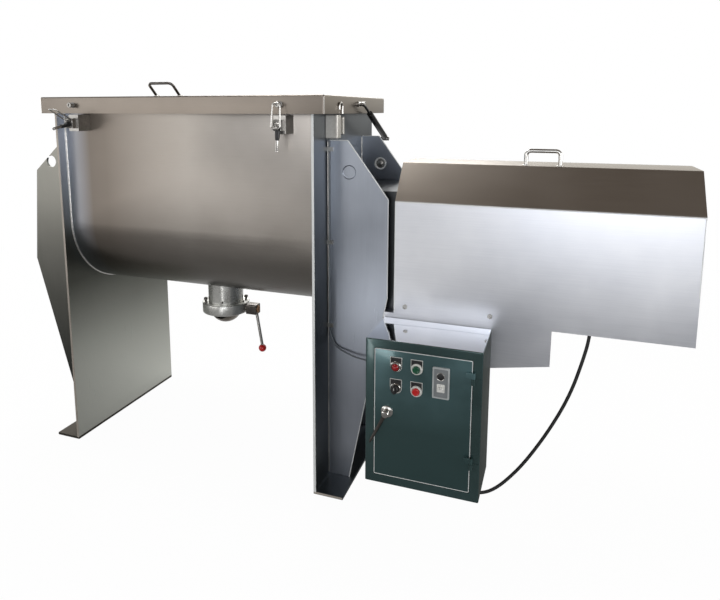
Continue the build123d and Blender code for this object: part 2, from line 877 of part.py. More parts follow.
shaft_end = plate_out + seal_length + bearing_length + plate_thickness
jaw_start = coupling_start + coupling_hub_length
jaw_end = jaw_start + coupling_jaw_length
bearing_bolt_pitch = bearing_flange / 2 - 2 * bolt_head_r
outer_ribbon_r = trough_r - ribbon_gap
ribbon_frame = Plane(origin=(ribbon_start, 0, shaft_z), x_dir=(0, 0, 1), z_dir=(1, 0, 0))


def both_halves(shape):
    """A piece of the right half and its mirror image, of the other hand, in the left half."""
    return [shape, mirrored(shape, Plane.YZ)]


def ribbon_strand(outer_r, width, left_hand):
    """One turn of flat strip wound on edge."""
    middle = outer_r - width / 2
    path = Helix(pitch=ribbon_length, height=ribbon_length, radius=middle, lefthand=left_hand)
    section = Plane(origin=path @ 0, x_dir=(1, 0, 0), z_dir=path % 0) * Rectangle(width, ribbon_thickness)
    return sweep(section, path=path, is_frenet=True)


def outer_ribbon():
    """The outer strips, which carry the powder towards the outlet."""
    return both_halves(ribbon_frame * ribbon_strand(outer_ribbon_r, outer_ribbon_width, False))


def inner_ribbon():
    """The inner strips of the other hand, half a turn round from the outer ones."""
    strand = Rot(0, 0, 180) * ribbon_strand(inner_ribbon_r, inner_ribbon_width, True)
    return both_halves(ribbon_frame * strand)


def ribbon_arm(place, reach, angle):
    """A round arm out from the shaft to a strip's inner edge."""
    arm = Pos(reach / 2, 0, 0) * Rot(0, 90, 0) * Cylinder(arm_r, reach)
    return ribbon_frame * Pos(0, 0, place * ribbon_length) * Rot(0, 0, angle) * arm


def main_shaft():
    """The shaft through both ends with its arms."""
    shaft = rod_x(-shaft_end, jaw_start, 0, shaft_z, shaft_r)
    for place in outer_arm_places:
        reach = outer_ribbon_r - outer_ribbon_width - arm_gap
        for arm in both_halves(ribbon_arm(place, reach, 360 * place)):
            shaft += arm
    for place in inner_arm_places:
        reach = inner_ribbon_r - inner_ribbon_width - arm_gap
        for arm in both_halves(ribbon_arm(place, reach, 180 - 360 * place)):
            shaft += arm
    return shaft


def bearing_bolt_places():
    """Four bolt axes around the shaft, as (y, z)."""
    steps = (-bearing_bolt_pitch, bearing_bolt_pitch)
    return [(y, shaft_z + z) for y in steps for z in steps]


def square_flange(x0, x1):
    """A square flange with rounded corners and four bolt holes, on the shaft axis."""
    half = bearing_flange / 2
    flange = block(x0, x1, -half, half, shaft_z - half, shaft_z + half)
    flange = fillet(flange.edges().filter_by(Axis.X), bolt_head_r)
    for y, z in bearing_bolt_places():
        flange -= rod_x(x0 - over, x1 + over, y, z, bolt_r)
    return flange


def shaft_seals():
    """Packing plates against the leg plates."""
    x1 = plate_out + seal_length
    bore = rod_x(plate_out - over, x1 + over, 0, shaft_z, shaft_r + running_fit)
    return both_halves(square_flange(plate_out, x1) - bore)


def shaft_bearings():
    """Flanged bearing housings outside the packing plates."""
    x0 = plate_out + seal_length
    x1 = x0 + bearing_flange_thickness
    x2 = x0 + bearing_length
    boss = spun_x([(x1, 0), (x1, bearing_boss_r + bearing_draft), (x2, bearing_boss_r), (x2, 0)])
    housing = square_flange(x0, x1) + boss - rod_x(x0 - over, x2 + over, 0, shaft_z, shaft_r + running_fit)
    return both_halves(housing)


def sector(x0, x1, r0, r1, middle, angle):
    """Part of a ring about the shaft axis."""
    outline = Polyline((x0, 0, shaft_z + r0), (x1, 0, shaft_z + r0), (x1, 0, shaft_z + r1),
                       (x0, 0, shaft_z + r1), close=True)
    axis = Axis((0, 0, shaft_z), (1, 0, 0))
    return revolve(make_face(outline), axis=axis, revolution_arc=angle).rotate(axis, middle - angle / 2)


def coupling_hubs():
    """The two jaw hubs, in mesh."""
    near = rod_x(coupling_start, jaw_start, 0, shaft_z, coupling_r)
    near -= rod_x(coupling_start - over, jaw_start + over, 0, shaft_z, shaft_r)
    far = rod_x(jaw_end, coupling_end, 0, shaft_z, coupling_r)
    far -= rod_x(jaw_end - over, coupling_end + over, 0, shaft_z, output_shaft_r)
    step = 360 / jaw_count
    for count in range(jaw_count):
        jaw_r = coupling_r - jaw_gap
        near += sector(jaw_start - over, jaw_end - jaw_gap, jaw_inner_r, jaw_r, count * step, jaw_angle)
        middle = (count + 0.5) * step
        far += sector(jaw_start + jaw_gap, jaw_end + over, jaw_inner_r, jaw_r, middle, jaw_angle)
    return [near, far]


def coupling_spider():
    """The rubber star between the jaws."""
    ring_r = jaw_inner_r - jaw_gap
    star = rod_x(jaw_start, jaw_end, 0, shaft_z, ring_r)
    star -= rod_x(jaw_start - over, jaw_end + over, 0, shaft_z, ring_r / 2)
    step = 180 / jaw_count
    for count in range(2 * jaw_count):
        star += sector(jaw_start, jaw_end, ring_r - 2, coupling_r, (count + 0.5) * step, spider_leg_angle)
    return star


# Drive: bracket, reducer, motor, covers and guard

reducer_middle = reducer_start + reducer_nose_length + reducer_length / 2
terminal_top = base_top + terminal_up
terminal_low = terminal_top - terminal_height
fan_start = motor_end + (fan_cover_length - fan_length) / 2
foot_bolt_x = reducer_foot_x / 2 - 2 * bolt_head_r
foot_bolt_y = reducer_foot_y / 2 - 2 * bolt_head_r
guard_bolt_z = base_top + bracket_upstand / 2
guard_bolts = (guard_start + guard_bolt_near, guard_start + guard_bolt_far)
box_bolts = (box_x + box_bolt_left, box_right - box_bolt_right)
box_bolt_heights = (box_top - box_bolt_high, box_top - box_bolt_low)


def gusset_edge(z):
    """How far out the right gusset's tapered edge lies at a height below its knee."""
    share = (z - plate_thickness) / (right_knee_low_z - plate_thickness)
    return plate_out + gusset_foot_width + share * (right_gusset_width - gusset_foot_width)


def drive_bracket():
    """A welded tray on the gussets: base plate, two tapered side plates, an end plate and two upstands."""
    base = block(plate_out, bracket_end, -side_inner, side_inner, base_low, base_top)
    base += block(bracket_end - base_thickness, bracket_end, -side_inner, side_inner,
                  bracket_low_far, base_low)
    outline = [(gusset_edge(bracket_low_near), bracket_low_near), (bracket_end, bracket_low_far),
               (bracket_end, base_top), (gusset_edge(base_top), base_top)]
    front = plate_xz(outline, -side_face, -side_inner)
    front += block(guard_start + guard_sheet + over, bracket_end, -side_face, -side_inner,
                   base_top - over, base_top + bracket_upstand)
    for x in guard_bolts:
        front -= rod_y(x, -side_face - over, -side_inner + over, guard_bolt_z, bolt_r)
    tray = base + front + mirrored(front, Plane.XZ)
    for x in box_bolts:
        for z in box_bolt_heights:
            tray -= rod_y(x, -side_face - over, -side_inner + over, z, bolt_r)
    for x in (reducer_middle - foot_bolt_x, reducer_middle + foot_bolt_x):
        for y in (-foot_bolt_y, foot_bolt_y):
            tray -= rod_z(x, y, base_low - over, base_top + over, bolt_r)
    return tray


def output_shaft():
    """The reducer's slow shaft, from the coupling into the nose."""
    return rod_x(jaw_end, reducer_start + reducer_nose_length, 0, shaft_z, output_shaft_r)


def gear_reducer():
    """A foot-mounted reducer: nose, ribbed round case, motor flange and a pedestal on two feet."""
    x1 = reducer_start + reducer_nose_length
    x2 = x1 + reducer_length
    profile = [(reducer_start, 0), (reducer_start, reducer_nose_r),
               (x1, reducer_nose_r + reducer_nose_draft), (x1, reducer_r),
               (x2, reducer_r), (x2, reducer_flange_r), (reducer_end, reducer_flange_r), (reducer_end, 0)]
    case = spun_x(profile)
    for place in reducer_rib_places:
        x = x1 + place * reducer_length
        case += rod_x(x - reducer_rib_half, x + reducer_rib_half, 0, shaft_z, reducer_r + reducer_rib_rise)
    half_x = reducer_foot_x / 2
    half_y = reducer_foot_y / 2
    foot_top = base_top + reducer_foot_thickness
    foot = block(reducer_middle - half_x, reducer_middle + half_x, -half_y, half_y, base_top, foot_top)
    for x in (reducer_middle - foot_bolt_x, reducer_middle + foot_bolt_x):
        for y in (-foot_bolt_y, foot_bolt_y):
            foot -= rod_z(x, y, base_top - over, foot_top + over, bolt_r)
    waist = foot_bolt_y - 3 * bolt_head_r
    column = [(-waist, foot_top), (waist, foot_top),
              (waist + bolt_head_r, shaft_z), (-waist - bolt_head_r, shaft_z)]
    case += plate_yz(column, reducer_middle - half_x / 2, reducer_middle + half_x / 2) + foot
    return case - rod_x(reducer_start - over, x1, 0, shaft_z, output_shaft_r + running_fit)


def motor_body():
    """A finned frame on the reducer's flange with a pad for the terminal box."""
    body = rod_x(reducer_end, motor_end, 0, shaft_z, motor_r)
    fin = block(reducer_end + motor_fin_start, motor_end - motor_end_ring, -motor_fin_half, motor_fin_half,
                shaft_z + motor_r - motor_fin_half, shaft_z + motor_r + motor_fin)
    for count in range(motor_fin_count):
        body += turned_x(fin, 0, shaft_z, 360 / motor_fin_count * count)
    spigot_r = motor_r + motor_fin - fan_cover_wall
    body += rod_x(motor_end - motor_end_ring, motor_end + motor_spigot, 0, shaft_z, spigot_r)
    half_x = terminal_length / 2 - terminal_pad
    half_y = terminal_width / 2 - terminal_pad
    body += block(terminal_x - half_x, terminal_x + half_x, terminal_y - half_y, terminal_y + half_y,
                  terminal_top, shaft_z - motor_r / 2)
    spigot_end = motor_end + motor_spigot + over
    return body - rod_x(motor_end - fan_length, spigot_end, 0, shaft_z, rotor_r + running_fit)


def fan_cover():
    """A pressed cowl with a ring of slots in its end."""
    r = motor_r + motor_fin
    cowl = rod_x(motor_end, fan_cover_end, 0, shaft_z, r)
    cowl = fillet(cowl.edges().filter_by(GeomType.CIRCLE).group_by(Axis.X)[-1], cowl_bend_r)
    hollow = rod_x(motor_end - over, fan_cover_end - fan_cover_wall, 0, shaft_z, r - fan_cover_wall)
    inner_edge = hollow.edges().filter_by(GeomType.CIRCLE).group_by(Axis.X)[-1]
    cowl -= fillet(inner_edge, cowl_bend_r - fan_cover_wall)
    for count in range(cowl_slots):
        slot = block(fan_cover_end - cowl_bend_r / 2, fan_cover_end + over, -cowl_slot_half, cowl_slot_half,
                     shaft_z + cowl_slot_in, shaft_z + cowl_slot_out)
        cowl -= turned_x(slot, 0, shaft_z, 360 / cowl_slots * count)
    return cowl


def motor_fan():
    """The rotor's tail with its fan: a hub, a disc and radial blades."""
    fan = rod_x(motor_end - fan_length + 2 * over, fan_start + fan_length, 0, shaft_z, rotor_r)
    fan += rod_x(fan_start, fan_start + fan_length, 0, shaft_z, 2 * rotor_r)
    fan += rod_x(fan_start, fan_start + fan_disc, 0, shaft_z, fan_r)
    blade = block(fan_start, fan_start + fan_length, -fan_disc / 2, fan_disc / 2,
                  shaft_z + rotor_r, shaft_z + fan_r)
    for count in range(fan_blades):
        fan += turned_x(blade, 0, shaft_z, 360 / fan_blades * count)
    return fan


def terminal_box():
    """The motor's terminal box, under the pad."""
    half_x = terminal_length / 2
    half_y = terminal_width / 2
    box = block(terminal_x - half_x, terminal_x + half_x, terminal_y - half_y, terminal_y + half_y,
                terminal_low, terminal_top)
    return fillet(box.edges().filter_by(Axis.Z), terminal_corner_r)


def shaft_cover():
    """A folded hood over the shaft between the gussets, open below and at both ends."""
    x0 = plate_out
    x1 = guard_start - cover_gap
    hood = block(x0, x1, -cover_half_width, cover_half_width, base_top, cover_top)
    inner = cover_half_width - cover_sheet
    return hood - block(x0 - over, x1 + over, -inner, inner, base_top - over, cover_top - cover_sheet)


def guard_outline(inset):
    """The guard's section: upright sides, sloped shoulders and a flat roof, at the front end."""
    low = base_top - 1 if inset else base_top
    half = side_face + guard_sheet
    slope = tan(atan2(half - guard_roof_half, guard_top - guard_shoulder) / 2)
    turn = tan(pi / 4 - atan2(half - guard_roof_half, guard_top - guard_shoulder) / 2)
    shoulder = guard_shoulder - inset * slope
    roof = guard_roof_half - inset * turn
    points = [(-half + inset, low), (half - inset, low), (half - inset, shoulder), (roof, guard_top - inset),
              (-roof, guard_top - inset), (-half + inset, shoulder)]
    return points


def guard_shell():
    """The drive guard: a folded cover, open below, with a notch over the shaft and four screw holes."""
    shell = plate_yz(guard_outline(0), guard_start, guard_end)
    shell -= plate_yz(guard_outline(guard_sheet), guard_start + guard_sheet, guard_end - guard_sheet)
    x0 = guard_start - 1
    x1 = guard_start + guard_sheet + 1
    shell -= rod_x(x0, x1, 0, shaft_z, guard_notch_r)
    shell -= block(x0, x1, -guard_notch_r, guard_notch_r, base_top - over, shaft_z)
    for x in guard_bolts:
        shell -= rod_y(x, -side_face - guard_sheet - over, -side_face + over, guard_bolt_z, bolt_r)
        shell -= rod_y(x, side_face - over, side_face + guard_sheet + over, guard_bolt_z, bolt_r)
    return shell


def guard_handle():
    """A round-bar handle on the guard's roof."""
    x0 = guard_handle_x - guard_handle_width / 2
    x1 = guard_handle_x + guard_handle_width / 2
    top = guard_top + guard_handle_rise - guard_handle_rod_r
    y = guard_handle_y
    return bent_rod([(x0, y, guard_top), (x0, y, top), (x1, y, top), (x1, y, guard_top)],
                    handle_bend_r, guard_handle_rod_r)


def bolt(length):
    """A hexagon bolt along +Z, with the underside of its head at zero and its shank below."""
    head = extrude(RegularPolygon(bolt_head_r, 6), amount=bolt_head)
    return head + Pos(0, 0, -length / 2) * Cylinder(bolt_r, length)


def fixing_bolts():
    """The bolts of the bearings, the reducer's feet, the guard, the control box and the valve ring."""
    bolts = []
    grip = bearing_flange_thickness + seal_length + plate_thickness
    for y, z in bearing_bolt_places():
        face = plate_out + seal_length + bearing_flange_thickness
        bolts += both_halves(Plane(origin=(face, y, z), z_dir=(1, 0, 0)) * bolt(grip))
    for x in (reducer_middle - foot_bolt_x, reducer_middle + foot_bolt_x):
        for y in (-foot_bolt_y, foot_bolt_y):
            foot = Pos(x, y, base_top + reducer_foot_thickness)
            bolts.append(foot * bolt(reducer_foot_thickness + base_thickness))
    for x in guard_bolts:
        face = side_face + guard_sheet
        front = Plane(origin=(x, -face, guard_bolt_z), z_dir=(0, -1, 0))
        screw = front * bolt(guard_sheet + gusset_thickness)
        bolts += [screw, mirrored(screw, Plane.XZ)]
    for x in box_bolts:
        for z in box_bolt_heights:
            face = -side_face - box_sheet
            bolts.append(Plane(origin=(x, face, z), z_dir=(0, -1, 0)) * bolt(box_sheet + gusset_thickness))
    ring_bolt = (valve_ring_r + outlet_r + tube_wall) / 2
    hexagon = extrude(RegularPolygon(ring_bolt_head_r, 6), amount=bolt_head)
    bolts += both_halves(Pos(ring_bolt, 0, valve_top) * hexagon)
    return bolts


# Control box, its door and what is on and in it

door_face = box_front
button_places = {
    "lamp": (button_column_left, button_row_high),
    "start": (button_column_right, button_row_high),
    "selector": (button_column_left, button_row_low),
    "stop": (button_column_right, button_row_low),
}
bore_r = button_r + clear
bore_end = door_face + 3 * bezel_height
mains_gland_y = cable_route[-1][1]


def box_shell():
    """Six sheets welded into a box: sides, top, floor with the mains hole, back and the door's frame."""
    x0 = box_x + box_sheet
    x1 = box_right - box_sheet
    z0 = box_low + box_sheet
    z1 = box_top - box_sheet
    back_y = -side_face - box_sheet
    left = block(box_x, x0, box_front, -side_face, box_low, box_top)
    right = block(x1, box_right, box_front, -side_face, box_low, box_top)
    top = block(x0, x1, box_front, -side_face, z1, box_top)
    floor = block(x0, x1, box_front, -side_face, box_low, z0)
    floor -= rod_z(mains_gland_x, mains_gland_y, box_low - over, z0 + over, mains_bore_r)
    back = block(x0, x1, back_y, -side_face, z0, z1)
    for x in box_bolts:
        for z in box_bolt_heights:
            back -= rod_y(x, back_y - over, -side_face + over, z, bolt_r)
    border = block(x0, x1, box_front, box_front + box_sheet, z0, z1)
    border -= block(door_left - door_gap, door_right + door_gap,
                    box_front - over, box_front + box_sheet + over,
                    door_low - door_gap, door_high + door_gap)
    return [left, right, top, floor, back, border]


def box_hinges():
    """Lower knuckles with their pins, on leaves screwed to the box's border."""
    pieces = []
    half = door_hinge_length / 2
    for z in door_hinge_heights:
        leaf = block(door_axis_x + door_hinge_r - 2, box_right - 2, box_front - 2, box_front, z - half, z)
        knuckle = rod_z(door_axis_x, door_axis_y, z - half, z - clear, door_hinge_r)
        web = block(door_axis_x, door_axis_x + door_hinge_r, door_axis_y, box_front, z - half, z - clear)
        pin = rod_z(door_axis_x, door_axis_y, z - half, z + half, door_hinge_r / 2)
        pieces.append(leaf + knuckle + web + pin)
    return pieces


def box_door():
    """A pan door with turned-in edges, hinge knuckles, and holes for the controls and the latch."""
    door = block(door_left, door_right, door_face, door_face + door_flange, door_low, door_high)
    door = fillet(door.edges().filter_by(Axis.Y), door_corner_r)
    door -= block(door_left + door_sheet, door_right - door_sheet, door_face + door_sheet,
                  door_face + door_flange + over, door_low + door_sheet, door_high - door_sheet)
    half = door_hinge_length / 2
    for z in door_hinge_heights:
        knuckle = rod_z(door_axis_x, door_axis_y, z, z + half, door_hinge_r)
        tab = block(door_right - 3 * door_hinge_r, door_axis_x, door_axis_y - door_hinge_r,
                    door_axis_y, z, z + half)
        tab += block(door_right - 3 * door_hinge_r, door_right - door_hinge_r, door_axis_y - door_hinge_r,
                     door_face, z, z + half)
        door += knuckle + tab
        door -= rod_z(door_axis_x, door_axis_y, z - over, z + half + over, door_hinge_r / 2 + running_fit)
    for x, z in button_places.values():
        door -= rod_y(x, door_face - over, door_face + door_sheet + over, z, neck_r)
    half_x = timer_width / 2 - timer_lip_x
    half_z = timer_height / 2 - timer_lip_z
    door -= block(timer_x - half_x, timer_x + half_x, door_face - over, door_face + door_sheet + over,
                  timer_z - half_z, timer_z + half_z)
    door += rod_y(door_lever_x, door_face - latch_plate, door_face, door_lever_z, latch_plate_r)
    return door - rod_y(door_lever_x, door_face - latch_plate - over, door_face + door_sheet + over,
                        door_lever_z, lever_shaft_r + running_fit)


def button_bezels():
    """Bezel, neck and contact block of each control, with a blind bore for what moves in it."""
    pieces = []
    for x, z in button_places.values():
        body = rod_y(x, door_face - bezel_height, door_face, z, bezel_r)
        front_edge = body.edges().filter_by(GeomType.CIRCLE).group_by(Axis.Y)[0]
        body = fillet(front_edge, bezel_edge_r)
        body += rod_y(x, door_face, bore_end + contact_wall, z, neck_r)
        half = neck_r + contact_wall
        body += block(x - half, x + half, bore_end, door_face + contact_depth,
                      z - contact_half_height, z + contact_half_height)
        pieces.append(body - rod_y(x, door_face - bezel_height - over, bore_end, z, bore_r))
    return pieces


def button_plug(place, proud):
    """A round plug that fills a bezel's bore and stands proud of the door."""
    x, z = button_places[place]
    end = bore_end - button_travel - 1
    plug = rod_y(x, door_face - proud, end, z, button_r)
    return fillet(plug.edges().filter_by(GeomType.CIRCLE).group_by(Axis.Y)[0], button_edge_r)


def indicator_lamp():
    """A domed lens on the lamp holder."""
    x, z = button_places["lamp"]
    plug = rod_y(x, door_face - bezel_height - over, bore_end, z, button_r)
    dome = Pos(x, door_face - bezel_height - over, z) * Sphere(button_r)
    return plug + dome


def selector_knob():
    """A turn knob with a raised grip bar."""
    x, z = button_places["selector"]
    grip = block(x - selector_grip, x + selector_grip,
                 door_face - 2 * button_proud, door_face - button_proud + over,
                 z - button_r, z + button_r)
    grip &= rod_y(x, door_face - 4 * button_proud, door_face, z, button_r)
    return button_plug("selector", button_proud) + grip


def timer_body():
    """The timer's front plate and its case behind the door, bored for the knob's spindle."""
    half_x = timer_width / 2
    half_z = timer_height / 2
    plate = block(timer_x - half_x, timer_x + half_x, door_face - timer_bezel, door_face,
                  timer_z - half_z, timer_z + half_z)
    plate = fillet(plate.edges().filter_by(Axis.Y), timer_lip_x)
    case = block(timer_x - half_x + timer_lip_x, timer_x + half_x - timer_lip_x,
                 door_face, door_face + timer_depth,
                 timer_z - half_z + timer_lip_z, timer_z + half_z - timer_lip_z)
    front = door_face - timer_bezel - over
    return plate + case - rod_y(timer_x, front, door_face, timer_knob_z, timer_spindle_r + running_fit)


def timer_knob():
    """The timer's dial knob with a pointer notch."""
    front = door_face - timer_bezel
    knob = rod_y(timer_x, front - timer_knob_height, front - clear, timer_knob_z, timer_knob_r)
    knob -= block(timer_x - timer_notch, timer_x + timer_notch, front - timer_knob_height - over,
                  front - timer_knob_height + timer_notch_depth, timer_knob_z + timer_notch_depth,
                  timer_knob_z + timer_knob_r + over)
    return knob + rod_y(timer_x, front - over, door_face - clear, timer_knob_z, timer_spindle_r)


def door_lever():
    """The latch lever, its shaft through the door and the cam behind it, which points up while unlatched."""
    front = door_face - door_lever_stand
    arm = Pos(door_lever_reach / 2, 0, 0) * Box(door_lever_reach, door_lever_width, door_lever_thickness)
    arm = fillet(arm.edges().filter_by(Axis.Z).group_by(Axis.X)[-1], door_lever_end_r)
    middle = (door_lever_x, front + door_lever_thickness / 2, door_lever_z)
    facing = Plane(origin=middle, x_dir=(1, 0, 0), z_dir=(0, -1, 0))
    lever = facing * Rot(0, 0, door_lever_angle) * arm
    cam_y = door_face + door_flange + door_cam
    half = door_lever_width / 2
    lever += rod_y(door_lever_x, front, cam_y + 1.5 * door_cam, door_lever_z, lever_shaft_r)
    lever += rod_y(door_lever_x, front, door_face - latch_plate - clear, door_lever_z, 2 * lever_shaft_r)
    return lever + block(door_lever_x - half, door_lever_x + half, cam_y, cam_y + door_cam,
                         door_lever_z - half, door_lever_z + door_cam_reach)


def switchgear():
    """A mounting panel on four spacers, with a contactor, a relay and a terminal strip."""
    back = -side_face - box_sheet
    face = back - panel_stand
    x0 = box_x + panel_margin
    x1 = box_right - panel_margin
    z0 = box_low + panel_margin
    z1 = box_top - panel_margin
    panel = block(x0, x1, face - box_sheet, face, z0, z1)
    for x in (x0 + 2 * bolt_r, x1 - 2 * bolt_r):
        for z in (z0 + 2 * bolt_r, z1 - 2 * bolt_r):
            panel += rod_y(x, face, back, z, bolt_r)
    front = face - box_sheet
    gear_x = x0 + gear_inset
    gear_end = gear_x + contactor_width
    contactor_top = z1 - contactor_down
    contactor_low = contactor_top - contactor_height
    contactor = block(gear_x, gear_end, front - contactor_depth, front, contactor_low, contactor_top)
    contactor -= block(gear_x + contactor_key, gear_end - contactor_key, front - contactor_depth - over,
                       front - contactor_depth + strip_slot_depth,
                       contactor_low + strip_pitch, contactor_top - strip_pitch)
    relay_top = contactor_low - relay_gap
    relay = block(gear_x, gear_end, front - relay_depth, front, relay_top - relay_height, relay_top)
    strip_low = z0 + strip_up
    strip_high = strip_low + strip_height
    strip = block(gear_x, x1 - gear_inset, front - strip_depth, front, strip_low, strip_high)
    for count in range(strip_slots):
        x = gear_x + strip_slot_depth + strip_slot + strip_pitch * count
        strip -= block(x, x + strip_slot, front - strip_depth - over, front - strip_depth + strip_slot_depth,
                       strip_low - over, strip_high + over)
    return [panel, contactor, relay, strip]


def gland(length, bore):
    """A cable gland along +Z from a wall at zero: a hexagon flange and a rounded nut."""
    body = extrude(RegularPolygon(gland_hex_r, 6), amount=length / 2)
    nut = Pos(0, 0, length / 2) * Cylinder(gland_r, length / 2, align=(Align.CENTER, Align.CENTER, Align.MIN))
    body += fillet(nut.edges().filter_by(GeomType.CIRCLE).group_by(Axis.Z)[-1], 2)
    if bore:
        body -= Cylinder(bore, 3 * length)
    return body


def cable_glands():
    """Glands of the motor cable at both ends, of the interlock lead, and a free one for the mains."""
    down = (0, 0, -1)
    motor_x, motor_y, motor_z = cable_route[0]
    below_terminals = Plane(origin=(motor_x, motor_y, terminal_low), z_dir=down)
    under_motor = below_terminals * gland(terminal_low - motor_z, 0)
    box_x1, box_y1, box_z1 = cable_route[-1]
    under_box = Plane(origin=(box_x1, box_y1, box_low), z_dir=down) * gland(box_low - box_z1, 0)
    below_floor = Plane(origin=(mains_gland_x, mains_gland_y, box_low), z_dir=down)
    mains = below_floor * gland(2 * box_gland_length, mains_bore_r)
    lead = thin_cable_path() @ 1
    beside_box = Plane(origin=(box_x, lead.Y, lead.Z), z_dir=(-1, 0, 0)) * gland(box_gland_length, 0)
    return [under_motor, under_box, mains, beside_box]


def motor_cable():
    """The free cable: straight runs joined by arcs as large as the runs allow."""
    points = [Vector(*point) for point in cable_route]
    radii = []
    for before, corner, after in zip(points, points[1:], points[2:]):
        turn = radians((corner - before).get_angle(after - corner))
        shorter = min((corner - before).length, (after - corner).length)
        radii.append(cable_share * shorter / tan(turn / 2))
    path = FilletPolyline(*points, radius=radii)
    print("motor cable radii", [round(value) for value in radii], "length", round(path.length))
    return sweep(Plane(origin=path @ 0, z_dir=path % 0) * Circle(cable_r), path=path)


def left_leg_plate():
    """The left leg plate, a mirror image of the right one."""
    return mirrored(leg_plate(), Plane.YZ)


def nodes():
    """Every sub-part by its name."""
    return {
        "left_leg_plate": left_leg_plate(),
        "right_leg_plate": leg_plate(),
        "trough_shell": trough_shell(),
        "left_gussets": left_gussets(),
        "right_gussets": right_gussets(),
        "lid_shell": lid_shell(),
        "lid_gasket": lid_gasket(),
        "lid_handle": lid_handle(),
        "lid_fittings": lid_catches() + [interlock_hook()],
        "hinge_leaves": hinge_leaves(),
        "hinge_brackets": hinge_brackets(),
        "hinge_pins": hinge_pins(),
        "latch_blocks": latch_blocks(),
        "left_latch_lever": latch_lever(-latch_x, left_latch_open),
        "right_latch_lever": latch_lever(latch_x, 0),
        "left_latch_bail": latch_bail(-latch_x, left_latch_open),
        "right_latch_bail": latch_bail(latch_x, 0),
        "strut_stud": strut_stud(),
        "strut_tube": strut_tube(),
        "strut_rod": strut_rod(),
        "interlock_switch": interlock_switch(),
        "interlock_cable": interlock_cable(),
        "cable_clips": cable_clips(),
        "discharge_tube": discharge_tube(),
        "valve_ring": valve_ring(),
        "valve_ball": valve_ball(),
        "valve_lever": valve_lever(),
        "valve_knob": valve_knob(),
        "main_shaft": main_shaft(),
        "outer_ribbon": outer_ribbon(),
        "inner_ribbon": inner_ribbon(),
        "shaft_seals": shaft_seals(),
        "shaft_bearings": shaft_bearings(),
        "coupling_hubs": coupling_hubs(),
        "coupling_spider": coupling_spider(),
        "output_shaft": output_shaft(),
        "drive_bracket": drive_bracket(),
        "gear_reducer": gear_reducer(),
        "motor_body": motor_body(),
        "fan_cover": fan_cover(),
        "motor_fan": motor_fan(),
        "terminal_box": terminal_box(),
        "shaft_cover": shaft_cover(),
        "guard_shell": guard_shell(),
        "guard_handle": guard_handle(),
        "fixing_bolts": fixing_bolts(),
        "box_shell": box_shell(),
        "box_hinges": box_hinges(),
        "box_door": box_door(),
        "button_bezels": button_bezels(),
        "indicator_lamp": indicator_lamp(),
        "start_button": button_plug("start", button_proud),
        "stop_button": button_plug("stop", button_proud),
        "selector_knob": selector_knob(),
        "timer_body": timer_body(),
        "timer_knob": timer_knob(),
        "door_lever": door_lever(),
        "switchgear": switchgear(),
        "cable_glands": cable_glands(),
        "motor_cable": motor_cable(),
    }


os.makedirs("parts", exist_ok=True)
for name, shape in nodes().items():
    solids = shape if isinstance(shape, list) else [shape]
    every = [solid for piece in solids for solid in piece.solids()]
    whole = solids[0] if len(solids) == 1 else Compound(every)
    export_step(whole, f"parts/{name}.step")
    print(name, len(whole.solids()), "solids")
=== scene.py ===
# %% [markdown]
# # A ribbon blender in stainless sheet
# The machine is a U trough between two leg plates, with a lid, a discharge valve, a guarded drive and a
# green control box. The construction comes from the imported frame, and this lesson dresses it. Large sheet
# pieces are drawn again with rolled folds, because a fold's soft highlight is what makes sheet metal read
# as sheet metal. Small turned and bent pieces are drawn again as surfaces of revolution and as tubes.

# %% Load the frame
import bmesh
import bpy
import json
import numpy as np
from math import atan2, cos, hypot, pi, radians, sin
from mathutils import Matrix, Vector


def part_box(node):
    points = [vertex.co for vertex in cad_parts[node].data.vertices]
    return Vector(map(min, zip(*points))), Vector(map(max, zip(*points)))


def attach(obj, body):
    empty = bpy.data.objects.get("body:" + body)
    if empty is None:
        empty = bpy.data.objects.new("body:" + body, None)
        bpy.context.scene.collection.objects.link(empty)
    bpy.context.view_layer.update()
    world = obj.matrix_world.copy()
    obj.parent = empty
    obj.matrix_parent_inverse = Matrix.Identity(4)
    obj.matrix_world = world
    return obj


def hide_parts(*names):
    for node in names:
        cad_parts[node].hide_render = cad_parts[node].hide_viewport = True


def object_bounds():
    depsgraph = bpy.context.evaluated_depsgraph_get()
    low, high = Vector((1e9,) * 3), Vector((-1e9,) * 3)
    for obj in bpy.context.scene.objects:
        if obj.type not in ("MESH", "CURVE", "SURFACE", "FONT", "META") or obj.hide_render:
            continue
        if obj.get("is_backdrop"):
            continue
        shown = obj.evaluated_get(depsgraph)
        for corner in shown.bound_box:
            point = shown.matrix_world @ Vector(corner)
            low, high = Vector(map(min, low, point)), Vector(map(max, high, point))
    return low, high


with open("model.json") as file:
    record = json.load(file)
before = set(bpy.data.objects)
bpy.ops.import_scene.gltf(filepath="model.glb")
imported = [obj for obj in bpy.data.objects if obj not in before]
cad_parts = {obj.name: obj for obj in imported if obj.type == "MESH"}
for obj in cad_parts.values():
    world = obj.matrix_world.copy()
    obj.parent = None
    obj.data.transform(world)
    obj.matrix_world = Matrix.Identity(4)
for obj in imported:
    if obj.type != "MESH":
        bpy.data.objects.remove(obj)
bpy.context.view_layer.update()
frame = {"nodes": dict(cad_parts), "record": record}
scene = bpy.context.scene
MM = 0.001

# %% [markdown]
# ## Camera
# The lens and the place of the camera were worked out from the straight edges of the machine. The picture
# was cropped after it was taken, so the optical centre isn't in its middle and the lens has a shift.

# %% Camera
PICTURE = (720, 600)
FOCAL_PIXELS = 605.27
OPTICAL_CENTRE = (341.76, 202.42)
SENSOR_MM = 36.0
CAMERA_PLACE = (1.0675, -1.7577, 1.1099)
CAMERA_TURN_LEFT = 20.07
CAMERA_TILT_DOWN = 8.67

